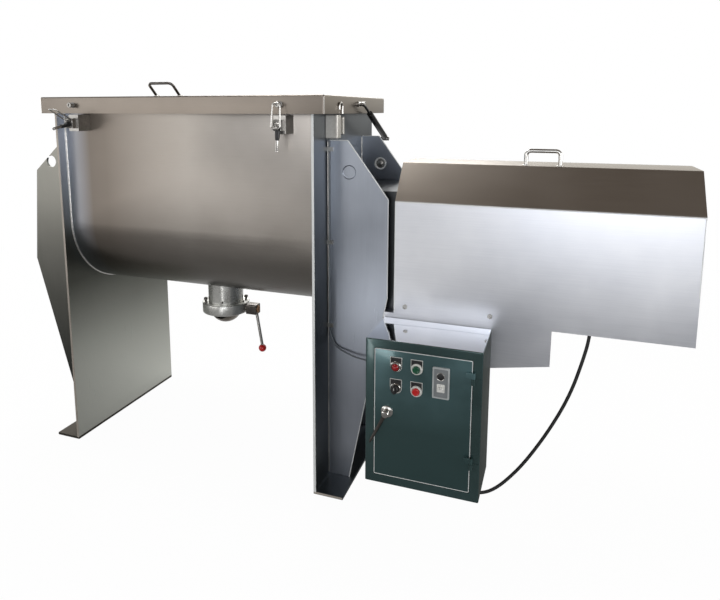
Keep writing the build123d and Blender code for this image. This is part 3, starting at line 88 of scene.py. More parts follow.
lens = bpy.data.cameras.new("studio_lens")
lens.sensor_width = SENSOR_MM
lens.lens = FOCAL_PIXELS / PICTURE[0] * SENSOR_MM
lens.shift_x = (PICTURE[0] / 2 - OPTICAL_CENTRE[0]) / PICTURE[0]
lens.shift_y = (OPTICAL_CENTRE[1] - PICTURE[1] / 2) / PICTURE[0]
camera = bpy.data.objects.new("studio_camera", lens)
camera.location = CAMERA_PLACE
camera.rotation_euler = (radians(90 - CAMERA_TILT_DOWN), 0, radians(CAMERA_TURN_LEFT))
scene.collection.objects.link(camera)
scene.camera = camera
print("lens", round(lens.lens, 2), "mm, shift", round(lens.shift_x, 4), round(lens.shift_y, 4))

# %% [markdown]
# ## The motor cable
# A rubber cable leaves the terminal box under the guard, hangs in one long curve and comes up into the
# floor of the control box. A cable is a fixed length of something flexible, so it is one smooth spline
# through the air: every point below pulls it a little, and none of them makes a corner.

# %% Motor cable
CABLE_DIAMETER = 0.009
CABLE_ROUTE_MM = [
    (1163, -66, 568), (1161, -69, 509), (1147, -78, 443), (1119, -92, 344), (1072, -108, 243),
    (1012, -130, 145), (962, -150, 88), (928, -166, 64), (900, -180, 59), (883.3, -188.4, 66.2),
    (870.4, -194.8, 80.1), (863.1, -198.5, 98.4), (862.5, -198.8, 116),
]


def hanging_cable(name, route_mm, diameter):
    """A NURBS line with the route's points as its control points, thickened to a round section.
    Each point carries the cable's radius, so that the bevel is one and the curve's box is true."""
    data = bpy.data.curves.new(name, "CURVE")
    data.dimensions = "3D"
    data.bevel_depth = 1.0
    data.bevel_resolution = 4
    data.resolution_u = 10
    spline = data.splines.new("NURBS")
    spline.points.add(len(route_mm) - 1)
    places = np.column_stack([np.array(route_mm) * MM, np.ones(len(route_mm))])
    spline.points.foreach_set("co", places.ravel())
    spline.points.foreach_set("radius", np.full(len(route_mm), diameter / 2))
    spline.order_u = 3
    spline.use_endpoint_u = True
    thing = bpy.data.objects.new(name, data)
    scene.collection.objects.link(thing)
    return thing


motor_cable = hanging_cable("motor_cable_rubber", CABLE_ROUTE_MM, CABLE_DIAMETER)
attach(motor_cable, "frame")
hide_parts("motor_cable")

# %% [markdown]
# ## A small language for shaders
# A finish is written as an expression: fields of noise are added, multiplied and sharpened, and each
# operator adds one Math node. Colours are only blended by Mix nodes, because Math would turn them grey.

# %% Shader helpers


class Field:
    """A value that changes over a surface: a socket that adds a Math node for each sum it is used in."""

    def __init__(self, tree, socket):
        self.tree = tree
        self.socket = socket

    def math(self, operation, first, second):
        """One Math node of two values."""
        node = self.tree.nodes.new("ShaderNodeMath")
        node.operation = operation
        plug(self.tree, node.inputs[0], first)
        plug(self.tree, node.inputs[1], second)
        return Field(self.tree, node.outputs[0])

    def __add__(self, other):
        return self.math("ADD", self, other)

    def __radd__(self, other):
        return self.math("ADD", other, self)

    def __sub__(self, other):
        return self.math("SUBTRACT", self, other)

    def __rsub__(self, other):
        return self.math("SUBTRACT", other, self)

    def __mul__(self, other):
        return self.math("MULTIPLY", self, other)

    def __truediv__(self, other):
        return self.math("DIVIDE", self, other)

    def clamp(self):
        """The field kept between 0 and 1."""
        return self.math("MAXIMUM", self.math("MINIMUM", self, 1.0), 0.0)

    def above(self, edge, soft):
        """0 below the edge and 1 above it, over a soft step of the given width."""
        return ((self - edge) / soft + 0.5).clamp()


def plug(tree, socket, value):
    """Link a field to a socket, or set the socket's own number or colour."""
    if isinstance(value, Field):
        tree.links.new(value.socket, socket)
    else:
        socket.default_value = value


print("fields ready")

# %% Graphs and finishes


class Graph:
    """The nodes of one material or world, with its own coordinates as a field."""

    def __init__(self, owner, coordinates):
        owner.use_nodes = True
        self.tree = owner.node_tree
        self.tree.nodes.clear()
        self.place = self.node("ShaderNodeTexCoord", out=coordinates)

    def node(self, kind, settings=None, sockets=None, out=0):
        """Any node: its settings first, then its sockets. Gives one of its outputs as a field."""
        node = self.tree.nodes.new(kind)
        for key, value in (settings or {}).items():
            setattr(node, key, value)
        for key, value in (sockets or {}).items():
            plug(self.tree, node.inputs[key], value)
        return Field(self.tree, node.outputs[out])

    def noise(self, scale, detail=3.0, stretch=(1, 1, 1)):
        """Cloudy noise, about one half on average. A small stretch on an axis draws it out along the axis."""
        drawn = self.node("ShaderNodeMapping", sockets={"Vector": self.place, "Scale": stretch})
        sockets = {"Vector": drawn, "Scale": scale, "Detail": detail, "Roughness": 0.55}
        return self.node("ShaderNodeTexNoise", sockets=sockets, out="Fac")

    def axis(self, letter):
        """One of the coordinates by its letter."""
        return self.node("ShaderNodeSeparateXYZ", sockets={0: self.place}, out=letter)

    def blend(self, factor, first, second):
        """A colour between two, by a factor. Sockets 0, 6 and 7 are the factor and the two colours."""
        sockets = {0: factor, 6: first, 7: second}
        return self.node("ShaderNodeMix", {"data_type": "RGBA"}, sockets, out=2)


class Finish(Graph):
    """One material: a Principled surface and the fields that feed it, on Object coordinates."""

    def __init__(self, name):
        self.material = bpy.data.materials.new(name)
        super().__init__(self.material, "Object")
        self.shader = self.tree.nodes.new("ShaderNodeBsdfPrincipled")
        end = self.tree.nodes.new("ShaderNodeOutputMaterial")
        self.tree.links.new(self.shader.outputs[0], end.inputs["Surface"])

    def bump(self, height, strength, distance):
        """A normal that follows a field of height; distance is the height of one, in metres."""
        sockets = {"Height": height, "Strength": strength, "Distance": distance}
        return self.node("ShaderNodeBump", sockets=sockets)

    def surface(self, **sockets):
        """Plug the shader's sockets, with an underscore for each space, and give the material."""
        for key, value in sockets.items():
            plug(self.tree, self.shader.inputs[key.replace("_", " ")], value)
        return self.material


def tone(red, green, blue):
    """A display colour of 0 to 255 as the linear colour that a shader works in."""
    shown = np.array([red, green, blue]) / 255
    return (*np.where(shown > 0.04, ((shown + 0.055) / 1.055) ** 2.4, shown / 12.92), 1.0)


def grey(level):
    """A neutral linear colour."""
    return (level, level, level, 1.0)


print("shader helpers ready")

# %% [markdown]
# ## Floor and light
# Steel shows what is around it, so the light is arranged as reflections. Satin sheet that faces the viewer
# mirrors what stands low in front of the machine: a warm panel for the tank, a whiter one for the guard.
# The ceiling and the reflected floor are dim, so that slopes and the underside of the trough fall dark.
# The camera sees a plain white surround and a pale floor that fades into it.

# %% Floor and light
FLOOR_HALF = 40.0
FADE_START = 2.6
scene.view_settings.view_transform = "Standard"


def soft_panel(name, place, aim, size, watts, tint=(1, 1, 1)):
    """A rectangular light at a place, turned to shine on the aim point, and not seen itself."""
    data = bpy.data.lights.new(name, "AREA")
    data.shape = "RECTANGLE"
    data.size, data.size_y = size
    data.energy = watts
    data.color = tint
    lamp = bpy.data.objects.new(name, data)
    lamp.location = place
    lamp.visible_camera = False
    away = np.array(place) - np.array(aim)
    lamp.rotation_euler = (atan2(hypot(away[0], away[1]), away[2]), 0, atan2(away[1], away[0]) + pi / 2)
    scene.collection.objects.link(lamp)


def studio_surround(world):
    """Reflected light: dim floor, a horizon that is brighter in front than behind, a dim warm ceiling."""
    graph = Graph(world, "Generated")
    height = graph.axis("Z")
    horizon = graph.blend(graph.axis("Y").above(0.3, 0.8), tone(225, 226, 228), (1.15, 1.13, 1.06, 1.0))
    low = graph.blend(height.above(0.0, 0.3), grey(0.1), horizon)
    reflected = graph.blend(height.above(0.5, 0.5), low, tone(108, 100, 93))
    seen = graph.node("ShaderNodeLightPath", out="Is Camera Ray")
    light = graph.node("ShaderNodeBackground", sockets={"Color": graph.blend(seen, reflected, grey(1.0))})
    end = graph.tree.nodes.new("ShaderNodeOutputWorld")
    graph.tree.links.new(light.socket, end.inputs["Surface"])


def studio_floor():
    """A sheet on the ground: pale where it is seen, dim in reflections, white far away."""
    mesh = bpy.data.meshes.new("studio_floor")
    corners = [(x * FLOOR_HALF, y * FLOOR_HALF, 0) for x, y in ((-1, -1), (1, -1), (1, 1), (-1, 1))]
    mesh.from_pydata(corners, [], [(0, 1, 2, 3)])
    finish = Finish("floor_paint")
    seen = finish.node("ShaderNodeLightPath", out="Is Camera Ray")
    far = finish.node("ShaderNodeVectorMath", {"operation": "LENGTH"}, {0: finish.place}, out="Value")
    white = finish.node("ShaderNodeEmission", sockets={"Color": grey(1.0)})
    behind = finish.axis("Y").above(-0.1, 0.8) * (1.0 - finish.axis("X").above(0.5, 0.5))
    mirrored = finish.blend(behind, grey(0.05), grey(0.4))
    finish.surface(Base_Color=finish.blend(seen, grey(0.16), grey(0.9)), Roughness=0.9,
                   Emission_Color=finish.blend(seen, mirrored, grey(0.0)), Emission_Strength=1.0)
    paint = Field(finish.tree, finish.shader.outputs[0])
    fade = seen * (0.97 + far.above(FADE_START, 2.0) * 0.03)
    mixed = finish.node("ShaderNodeMixShader", sockets={0: fade, 1: paint, 2: white})
    finish.tree.links.new(mixed.socket, finish.tree.nodes["Material Output"].inputs["Surface"])
    mesh.materials.append(finish.material)
    thing = bpy.data.objects.new("studio_floor", mesh)
    scene.collection.objects.link(thing)
    thing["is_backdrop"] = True


scene.world = bpy.data.worlds.new("studio")
studio_surround(scene.world)
studio_floor()
soft_panel("tank_panel", (-2.8, -4.2, 1.1), (0.0, 0.0, 0.8), (3.8, 2.2), 36, (1, 0.985, 0.965))
soft_panel("guard_panel", (1.6, -4.4, 0.9), (1.0, 0.0, 0.7), (2.4, 1.6), 31, (0.96, 0.975, 1))
soft_panel("right_panel", (5.0, -0.6, 1.4), (0.4, 0.0, 0.7), (2.6, 2.0), 90)
soft_panel("left_panel", (-5.0, 0.2, 1.6), (-0.4, 0.0, 0.7), (2.6, 2.0), 70)
soft_panel("rear_panel", (-1.4, 4.2, 3.2), (0.0, 0.0, 0.7), (4.0, 1.6), 90)
soft_panel("valve_panel", (0.2, -1.4, 0.04), (0.0, 0.0, 0.46), (0.18, 0.5), 0.9)
soft_panel("top_panel", (-0.6, 0.25, 3.4), (-0.1, 0.0, 0.8), (1.2, 0.9), 40)
print("seven soft panels and a surround")

# %% [markdown]
# ## Steel
# Stainless sheet is brushed: long fine lines make its gloss softer across them than along them. Over that
# lie wide cloudy patches from handling and rolling, and very shallow waves that bend the reflections. All
# three are noise on Object coordinates, and the lines are drawn out along each piece's rolling direction.

# %% Steel
SATIN = 0.32
CLOUD_SCALE = 2.6
LINE_SCALE = 420.0
WAVE_SCALE = 5.0
GRAIN_SCALE = 160.0
SPECK_SCALE = 22.0
STRETCH = {"X": (0.02, 1, 1), "Z": (1, 1, 0.02)}


def sheet_steel(name, dark, light, along, rough=SATIN, zones=()):
    """Brushed sheet: tone and gloss from wide clouds, fine lines along one axis, shallow waves.
    A zone (axis, edge, width, tone) gives the sheet another tone below that place on the axis, in metres,
    over a soft step of that width, or above it where the width is negative."""
    finish = Finish(name)
    cloud = finish.noise(CLOUD_SCALE, 4.0)
    lines = finish.noise(LINE_SCALE, 2.0, STRETCH[along])
    waves = finish.noise(WAVE_SCALE, 1.0)
    shade = (cloud.above(0.5, 0.5) * 0.75 + lines * 0.25).clamp()
    height = lines * 0.12 + waves * 16
    colour = finish.blend(shade, tone(*dark), tone(*light))
    for axis, edge, soft, zone_tone in zones:
        colour = finish.blend(finish.axis(axis).above(edge, soft), tone(*zone_tone), colour)
    return finish.surface(
        Base_Color=colour,
        Metallic=1.0,
        Roughness=rough + (cloud - 0.5) * 0.16 + (lines - 0.5) * 0.12,
        Normal=finish.bump(height, 0.35, 0.00012),
    )


def turned_metal(name, dark, light, rough, metal=1.0):
    """Turned or drawn bar: fine random tone, a few specks, a clear shine."""
    finish = Finish(name)
    grain = finish.noise(GRAIN_SCALE, 3.0)
    patch = finish.noise(SPECK_SCALE, 3.0)
    return finish.surface(
        Base_Color=finish.blend((grain * 0.4 + patch * 0.6).above(0.5, 0.4), tone(*dark), tone(*light)),
        Metallic=metal,
        Roughness=rough + (patch - 0.5) * 0.14,
        Normal=finish.bump(grain, 0.12, 0.0001),
    )


def made(maker, looks):
    """Materials of one kind from a table. A finish is called like its material, without the last word."""
    return {name.rpartition("_")[0]: maker(name, *look) for name, look in looks.items()}


SHEETS = {
    # Tank: its zones are painted light. Left of X -0.13 m a darker tone, painted shade; at the left end a
    # bluish lighter band, a painted reflection of the leg; below 0.6 m a dark tone, the painted reflection of
    # the dark floor in the lower curve.
    "tank_steel_brushed": ((156, 150, 143), (187, 181, 175), "X", SATIN, [
        ("X", -0.13, 0.3, (135, 127, 119)), ("X", -0.385, 0.09, (184, 189, 200)),
        ("Z", 0.6, 0.2, (62, 63, 60))]),
    "lid_steel_brushed": ((120, 112, 104), (150, 142, 133), "X"),
    # Left leg plate: lighter below 0.3 m and a bluish light tone above 0.9 m, painted light from reflections;
    # below 8.4 mm, on the foot, a darker tone.
    "leg_steel_brushed": ((92, 94, 88), (116, 118, 111), "Z", SATIN, [
        ("Z", 0.3, 0.5, (214, 216, 208)), ("Z", 0.9, -0.4, (232, 237, 245)),
        ("Z", 0.0084, 0.0004, (84, 80, 74))]),
    # Left gussets: darker below 0.5 m, painted shade.
    "wing_steel_brushed": ((136, 135, 129), (158, 157, 150), "Z", SATIN, [("Z", 0.5, 0.6, (76, 78, 74))]),
    # Right leg plate: a darker copy of the leg steel, and darker still below 0.15 m: painted shade.
    "shade_steel_brushed": ((104, 109, 114), (128, 133, 139), "Z", SATIN, [("Z", 0.15, 0.4, (84, 88, 90))]),
    "gusset_steel_brushed": ((150, 156, 167), (188, 194, 204), "Z"),
    # Guard: above the shoulder fold, at 0.8625 m, the slopes and roof take a darker warm tone: painted shade.
    "guard_steel_brushed": ((200, 203, 211), (247, 248, 251), "X", 0.36, [
        ("Z", 0.8625, -0.003, (166, 158, 149))]),
    # Shaft cover: one even tone, much darker than the other sheet.
    "cover_steel_dull": ((66, 68, 70), (92, 94, 96), "X"),
}
BARS = {
    "switch_steel_satin": ((184, 181, 174), (216, 213, 206), 0.34, 0.4),
    # Valve ball: a darker copy of turned steel, painted shade.
    "ball_steel_worn": ((104, 98, 90), (158, 151, 142), 0.26),
    "bright_rod_polished": ((178, 176, 172), (222, 220, 216), 0.16),
    "turned_steel_satin": ((140, 138, 134), (196, 194, 190), 0.3),
    "ribbon_steel_polished": ((186, 184, 178), (224, 222, 216), 0.3, 0.7),
    "valve_steel_satin": ((196, 196, 192), (232, 232, 228), 0.28, 0.84),
    "weld_bright_polished": ((196, 194, 190), (228, 226, 222), 0.34),
    "zinc_bolt_bright": ((150, 148, 144), (200, 198, 192), 0.28),
    "dark_rod_steel": ((84, 80, 77), (126, 122, 118), 0.24),
    "bronze_bush_turned": ((140, 104, 74), (186, 148, 112), 0.28),
}
FINISHES = made(sheet_steel, SHEETS) | made(turned_metal, BARS)
print(len(FINISHES), "steel finishes")

# %% [markdown]
# ## Paint, plastic and rubber
# The control box's deep glossy green stands in for polished steel that mirrors a green floor: a painted
# reflection, drawn as gloss paint. The drive is in grey machine paint. Mouldings have a faint grain and
# rubber a dusty, uneven gloss. Each gets its variation from the same noise, at its own scale.

# %% Paint, plastic and rubber
PATCH_SCALE = 6.0
PEEL_SCALE = 260.0
FLOW_SCALE = 40.0
COAT_ROUGHNESS = 0.05


def paint_fields(finish, dark, light):
    """What every paint has: patches, an orange-peel skin, and a colour between two tones by the patches."""
    patch = finish.noise(PATCH_SCALE, 3.0)
    peel = finish.noise(PEEL_SCALE, 1.0)
    return patch, peel, finish.blend(patch.above(0.5, 0.5), tone(*dark), tone(*light))


def coated(name, dark, light, rough, coat=0.0, metal=0.0, low=None):
    """Paint: slow changes of tone, an orange-peel skin, and a clear coat on gloss paint.
    A low (height, width, tone) gives the paint another tone below that height, in metres."""
    finish = Finish(name)
    patch, peel, colour = paint_fields(finish, dark, light)
    if low:
        height, soft, low_tone = low
        colour = finish.blend(finish.axis("Z").above(height, soft), tone(*low_tone), colour)
    return finish.surface(
        Base_Color=colour,
        Metallic=metal,
        Roughness=rough + (patch - 0.5) * 0.12,
        Coat_Weight=coat,
        Coat_Roughness=COAT_ROUGHNESS,
        Normal=finish.bump(peel, 0.08, 0.0002),
    )


def box_reflection_paint(name, dark, light, top, side):
    """Gloss green paint that stands in for polished steel mirroring a green floor: a painted reflection.
    Above the height of top, in metres, the top face is bare polished steel, a mirror. Past the X of side, in
    metres, the outer wall is rougher and painted darker: painted shade."""
    finish = Finish(name)
    patch, peel, gloss = paint_fields(finish, dark, light)
    bare = finish.axis("Z").above(top, 0.0002)
    dull = finish.axis("X").above(side, 0.0002)
    # Past the side the outer wall takes a dark tone: painted shade.
    paint = finish.blend(dull, gloss, tone(34, 44, 40))
    return finish.surface(
        Base_Color=finish.blend(bare, paint, tone(246, 249, 255)),
        Metallic=((0.55 + bare * 0.45) - dull * 0.5).clamp(),
        Roughness=0.16 + (patch - 0.5) * 0.1 - bare * 0.08 + dull * 0.3,
        Coat_Weight=(0.6 - bare * 0.6 - dull * 0.6).clamp(),
        Coat_Roughness=COAT_ROUGHNESS,
        Normal=finish.bump(peel, 0.06, 0.0002),
    )


def moulded(name, dark, light, rough, grain_scale=700.0, grain=0.25):
    """Plastic or rubber: an even colour with faint flow marks and a fine grain."""
    finish = Finish(name)
    flow = finish.noise(FLOW_SCALE, 2.0)
    fine = finish.noise(grain_scale, 2.0)
    return finish.surface(
        Base_Color=finish.blend(flow.above(0.5, 0.6), tone(*dark), tone(*light)),
        Roughness=rough + (flow - 0.5) * 0.15,
        Normal=finish.bump(fine, grain, 0.0001),
    )


PAINTS = {
    "cast_grey_paint": ((88, 98, 106), (108, 118, 126), 0.45),
    # Door green: a painted reflection of a green floor in polished steel; below 0.37 m a darker tone, painted
    # shade.
    "door_green_gloss": ((60, 87, 88), (104, 138, 143), 0.16, 0.6, 0.55, (0.37, 0.16, (57, 84, 84))),
    # Matt near-white and cream for thin edge lines and trims: painted highlights.
    "edge_bright_silver": ((222, 225, 224), (242, 244, 243), 0.4, 0.0, 0.2),
    "edge_cream_steel": ((160, 152, 142), (190, 182, 172), 0.4, 0.0, 0.4),
    "field_grey_matt": ((112, 116, 118), (136, 140, 142), 0.4),
    "black_tube_lacquer": ((8, 8, 8), (18, 18, 18), 0.36, 0.1),
}
# Box green: a painted reflection of a green floor in polished steel, with the outer wall painted darker as
# shade.
BOX_PAINTS = {"green_panel_gloss": ((46, 68, 67), (70, 96, 96), 0.5277, 0.9117)}
MOULDINGS = {
    "red_plastic_gloss": ((176, 24, 26), (212, 44, 42), 0.2, 700, 0.05),
    "lamp_red_lens": ((110, 8, 12), (160, 20, 24), 0.16, 700, 0.05),
    "green_plastic_gloss": ((14, 70, 48), (24, 100, 66), 0.22, 700, 0.05),
    "black_plastic_matt": ((16, 16, 17), (34, 34, 36), 0.4),
    "white_plastic_matt": ((206, 206, 200), (228, 228, 224), 0.42),
    "grey_plastic_matt": ((158, 162, 162), (186, 190, 190), 0.4),
    "grey_cable_sheath": ((84, 90, 96), (108, 114, 120), 0.45, 500, 0.3),
    "black_rubber_matt": ((9, 9, 9), (20, 20, 20), 0.5, 500, 0.3),
    "white_rubber_seal": ((205, 202, 192), (226, 222, 212), 0.55, 500, 0.3),
}
FINISHES |= made(coated, PAINTS) | made(box_reflection_paint, BOX_PAINTS) | made(moulded, MOULDINGS)
print(len(FINISHES), "finishes in all")

# %% Give each CAD node its finish
NODE_SLOT = {node: thing.data.materials[0].name.split(".")[0] for node, thing in frame["nodes"].items()}
for node, slot in NODE_SLOT.items():
    frame["nodes"][node].data.materials[0] = FINISHES[slot]
frame["nodes"]["interlock_cable"].data.materials[0] = FINISHES["grey_cable"]
motor_cable.data.materials.append(FINISHES["black_rubber"])

# %% [markdown]
# ## Surfaces from arrays
# A new piece is one or more closed shells. A shell is a grid of points: loops of a section, one after the
# other, joined by quads and closed by a face at each end. Rods are circles carried along a path, turned
# pieces are circles of changing size along an axis, and folded sheet is a stack of rounded rectangles.
# Lengths here are millimetres, as on a drawing, and become metres when the mesh is made.

# %% Shells and loops
ALONG_X = (1.0, 0.0, 0.0)
ALONG_Y = (0.0, 1.0, 0.0)
ALONG_Z = (0.0, 0.0, 1.0)
TO_FRONT = (0.0, -1.0, 0.0)


class Shell:
    """Loops of points (loops, points in a loop, 3) joined by quads, with a face over each end.
    In a ring the last loop is joined to the first instead."""

    def __init__(self, loops, finish, ring=False):
        loops = np.asarray(loops, float)
        count, size = loops.shape[:2]
        step = np.arange(count if ring else count - 1)[:, None] * size
        here = np.arange(size)
        after = (here + 1) % size
        up = (step + size) % (count * size)
        quads = np.stack([step + here, step + after, up + after, up + here], -1).reshape(-1, 4)
        self.points = loops.reshape(-1, 3)
        self.faces = quads.tolist()
        if not ring:
            self.faces += [here[::-1].tolist(), (here + (count - 1) * size).tolist()]
        self.finish = finish

    def turned(self, place, angle):
        """The shell turned about an axis along X through a (y, z) place."""
        y, z = (self.points[:, 1:] - place).T
        self.points[:, 1] = place[0] + y * cos(angle) - z * sin(angle)
        self.points[:, 2] = place[1] + y * sin(angle) + z * cos(angle)
        return self

    def shifted(self, x=0.0, y=0.0, z=0.0):
        """The shell moved."""
        self.points += (x, y, z)
        return self


def circle(sides):
    """Unit circle points (sides, 2)."""
    turn = np.linspace(0, 2 * pi, sides, endpoint=False)
    return np.column_stack([np.cos(turn), np.sin(turn)])


print("shells ready")

# %% Turned pieces and bars


def turned_shell(profile, place, axis, finish, sides=40, ring=False):
    """A turned piece: circles of each profile radius at each distance along an axis from a place.
    In a ring the last circle is joined to the first, so that the profile is a closed section."""
    radius, along = np.array(profile, float).T
    unit = circle(sides)
    loops = np.zeros((len(radius), sides, 3))
    main = "XYZ".index(axis)
    loops[:, :, (main + 1) % 3] = radius[:, None] * unit[:, 0]
    loops[:, :, (main + 2) % 3] = radius[:, None] * unit[:, 1]
    loops[:, :, main] = along[:, None]
    return Shell(loops + np.array(place), finish, ring=ring)


def bent_line(corners, radius, steps=8):
    """Points of a bent bar: straight runs, and at each inner corner an arc tangent to both runs."""
    corners = np.array(corners, float)
    parts = [corners[:1]]
    for before, corner, after in zip(corners, corners[1:], corners[2:]):
        back = (before - corner) / np.linalg.norm(before - corner)
        on = (after - corner) / np.linalg.norm(after - corner)
        half = np.arccos(np.clip(back @ on, -1, 1)) / 2
        bisector = (back + on) / np.linalg.norm(back + on)
        centre = corner + bisector * radius / np.sin(half)
        start = corner + back * radius / np.tan(half) - centre
        end = corner + on * radius / np.tan(half) - centre
        sweep = pi - 2 * half
        share = np.linspace(0, 1, steps + 1)[:, None]
        arc = (start * np.sin((1 - share) * sweep) + end * np.sin(share * sweep)) / np.sin(sweep)
        parts.append(centre + arc)
    return np.vstack(parts + [corners[-1:]])


def carried_shell(path, section, finish, ring=False, up=ALONG_Z):
    """A section (points, 2) carried along a path, its second axis kept as near as can be to up."""
    path = np.asarray(path, float)
    if ring:
        ahead = np.roll(path, -1, 0) - np.roll(path, 1, 0)
    else:
        ahead = np.gradient(path, axis=0)
    ahead /= np.linalg.norm(ahead, axis=1)[:, None]
    side = np.cross(ahead, up)
    side /= np.linalg.norm(side, axis=1)[:, None]
    top = np.cross(side, ahead)
    section = np.asarray(section, float)
    loops = path[:, None] + section[:, 0, None] * side[:, None] + section[:, 1, None] * top[:, None]
    return Shell(loops, finish, ring=ring)


def bar_shell(corners, bend, radius, finish, up=ALONG_Z, sides=18):
    """A round bar bent at its corners."""
    path = bent_line(corners, bend) if len(corners) > 2 else np.array(corners, float)
    return carried_shell(path, circle(sides) * radius, finish, up=up)


def grown(shell, path, factors):
    """A carried shell with its section made larger by factors (points of the path, 1 or 3) along the path."""
    sides = len(shell.points) // len(path)
    middle = np.repeat(path, sides, axis=0)
    shell.points = middle + (shell.points - middle) * np.repeat(factors, sides, axis=0)
    return shell


print("turned pieces and bars ready")

# %% Folded sheet and blocks


def rounded_rectangle(half_u, half_v, corner, steps=6):
    """Points of a rectangle with round corners, anticlockwise from the right."""
    quarter = np.linspace(0, pi / 2, steps + 1)
    arc = np.column_stack([np.cos(quarter), np.sin(quarter)]) * corner
    centre = np.array([half_u - corner, half_v - corner])
    turns = [(1, 1, False), (-1, 1, True), (-1, -1, False), (1, -1, True)]
    parts = [((arc + centre)[::-1] if back else arc + centre) * (su, sv) for su, sv, back in turns]
    return np.vstack(parts)


def stacked_shell(levels, centre, axis, finish):
    """Rounded rectangles (half u, half v, corner, distance) stacked along an axis about a centre."""
    main = "XYZ".index(axis)
    loops = []
    for half_u, half_v, corner, along in levels:
        flat = rounded_rectangle(half_u, half_v, corner)
        loop = np.zeros((len(flat), 3))
        loop[:, (main + 1) % 3] = flat[:, 0]
        loop[:, (main + 2) % 3] = flat[:, 1]
        loop[:, main] = along
        loops.append(loop)
    return Shell(np.array(loops) + np.array(centre, float), finish)


def rolled(half_u, half_v, corner, start, inward, radius, steps=5):
    """Levels of a rolled edge: from the side at start over to the face, in the direction of inward."""
    turn = np.linspace(0, pi / 2, steps + 1)
    inset = radius * (1 - np.cos(turn))
    along = start + inward * radius * np.sin(turn)
    return [(half_u - i, half_v - i, max(corner - i, 0.3), a) for i, a in zip(inset, along)]


def block_shell(low, high, edge, axis, finish, corner):
    """A block between two corners, with rolled edges at both ends of its axis and round corners along it."""
    low, high = np.array([low, high], float)
    main = "XYZ".index(axis)
    half = (high - low) / 2
    u = half[(main + 1) % 3]
    v = half[(main + 2) % 3]
    top = rolled(u, v, corner, half[main] - edge, 1, edge)
    bottom = rolled(u, v, corner, edge - half[main], -1, edge)[::-1]
    return stacked_shell(bottom + top, (low + high) / 2, axis, finish)


print("folded sheet and blocks ready")

# %% Pieces from shells


def box_mm(node):
    """The lowest and highest corners of a CAD node in millimetres."""
    low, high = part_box(node)
    return np.array(low) / MM, np.array(high) / MM


def show(name, mesh, body, stands_for):
    """Put a finished mesh on the stage, riding a body and standing for CAD nodes."""
    thing = bpy.data.objects.new(name, mesh)
    scene.collection.objects.link(thing)
    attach(thing, body)
    if stands_for:
        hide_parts(*stands_for)
    return thing


def smooth(mesh, angle=35):
    """Outward normals, and shading that is smooth except over sharp edges."""
    work = bmesh.new()
    work.from_mesh(mesh)
    bmesh.ops.recalc_face_normals(work, faces=work.faces)
    work.to_mesh(mesh)
    work.free()
    mesh.shade_smooth()
    mesh.set_sharp_from_angle(angle=radians(angle))


def piece(name, shells, body, slot, *stands_for):
    """One object made of shells, with a material for each finish that they wear."""
    mesh = bpy.data.meshes.new(name)
    starts = np.cumsum([0] + [len(shell.points) for shell in shells])
    points = np.vstack([shell.points for shell in shells]) * MM
    faces = [[number + start for number in face]
             for shell, start in zip(shells, starts) for face in shell.faces]
    mesh.from_pydata(points, [], faces)
    worn = list(dict.fromkeys(shell.finish for shell in shells))
    for finish in worn:
        mesh.materials.append(FINISHES[finish])
    numbers = [worn.index(shell.finish) for shell in shells for _ in shell.faces]
    mesh.polygons.foreach_set("material_index", numbers)
    smooth(mesh)
    show(name, mesh, body, stands_for)


print("pieces ready")

# %% [markdown]
# ## Softened plates
# Flat plate, cast housings and bolts already have the right shape in the frame. What they lack is the small
# round on every edge that catches the light. A copy of such a node is welded together, its flat faces are
# joined, and a Bevel rounds the edges.

# %% Softened copies
WELD_DISTANCE = 2e-6
FLAT_ANGLE = radians(1)
SHARP_ANGLE = radians(32)


def softened(node, body, edge_mm, finish=None, segments=2):
    """A copy of a CAD node with welded points, joined flat faces and rounded edges."""
    source = frame["nodes"][node]
    mesh = source.data.copy()
    work = bmesh.new()
    work.from_mesh(mesh)
    bmesh.ops.remove_doubles(work, verts=work.verts, dist=WELD_DISTANCE)
    bmesh.ops.dissolve_limit(work, angle_limit=FLAT_ANGLE, verts=work.verts, edges=work.edges)
    work.to_mesh(mesh)
    work.free()
    slot = NODE_SLOT[node]
    mesh.materials.clear()
    mesh.materials.append(FINISHES[finish or slot])
    mesh.polygons.foreach_set("material_index", np.zeros(len(mesh.polygons), int))
    mesh.shade_smooth()
    mesh.set_sharp_from_angle(angle=SHARP_ANGLE)
    thing = show(node + "_soft", mesh, body, [node])
    bevel = thing.modifiers.new("edge_round", "BEVEL")
    bevel.width = edge_mm * MM
    bevel.segments = segments
    bevel.limit_method = "ANGLE"
    bevel.angle_limit = SHARP_ANGLE
    bevel.harden_normals = True


BODIES = frame["record"]["behaviour"]["bodies"]
NODE_BODY = {node: body for body, members in BODIES.items() for node in members}
EDGES_MM = {
    "left_leg_plate": 1.2, "right_leg_plate": 1.2, "left_gussets": 1.0, "right_gussets": 1.0,
    "trough_shell": 0.8, "drive_bracket": 1.0, "shaft_cover": 0.8, "hinge_brackets": 1.5, "hinge_leaves": 0.5,
    "hinge_pins": 0.4, "gear_reducer": 1.2, "motor_body": 0.6, "terminal_box": 1.0, "fan_cover": 0.5,
    "fixing_bolts": 0.5, "shaft_seals": 0.8, "shaft_bearings": 0.8, "coupling_hubs": 0.6, "switchgear": 0.5,
    "cable_glands": 0.5, "cable_clips": 0.5, "strut_stud": 0.5, "output_shaft": 0.8, "latch_blocks": 1.2,
    "coupling_spider": 0.5, "motor_fan": 0.4, "main_shaft": 0.5, "box_hinges": 0.5, "valve_ball": 0.8,
}
OTHER_FINISH = {"left_gussets": "wing_steel", "box_hinges": "green_panel", "shaft_cover": "cover_steel",
                "valve_ball": "ball_steel", "right_leg_plate": "shade_steel"}
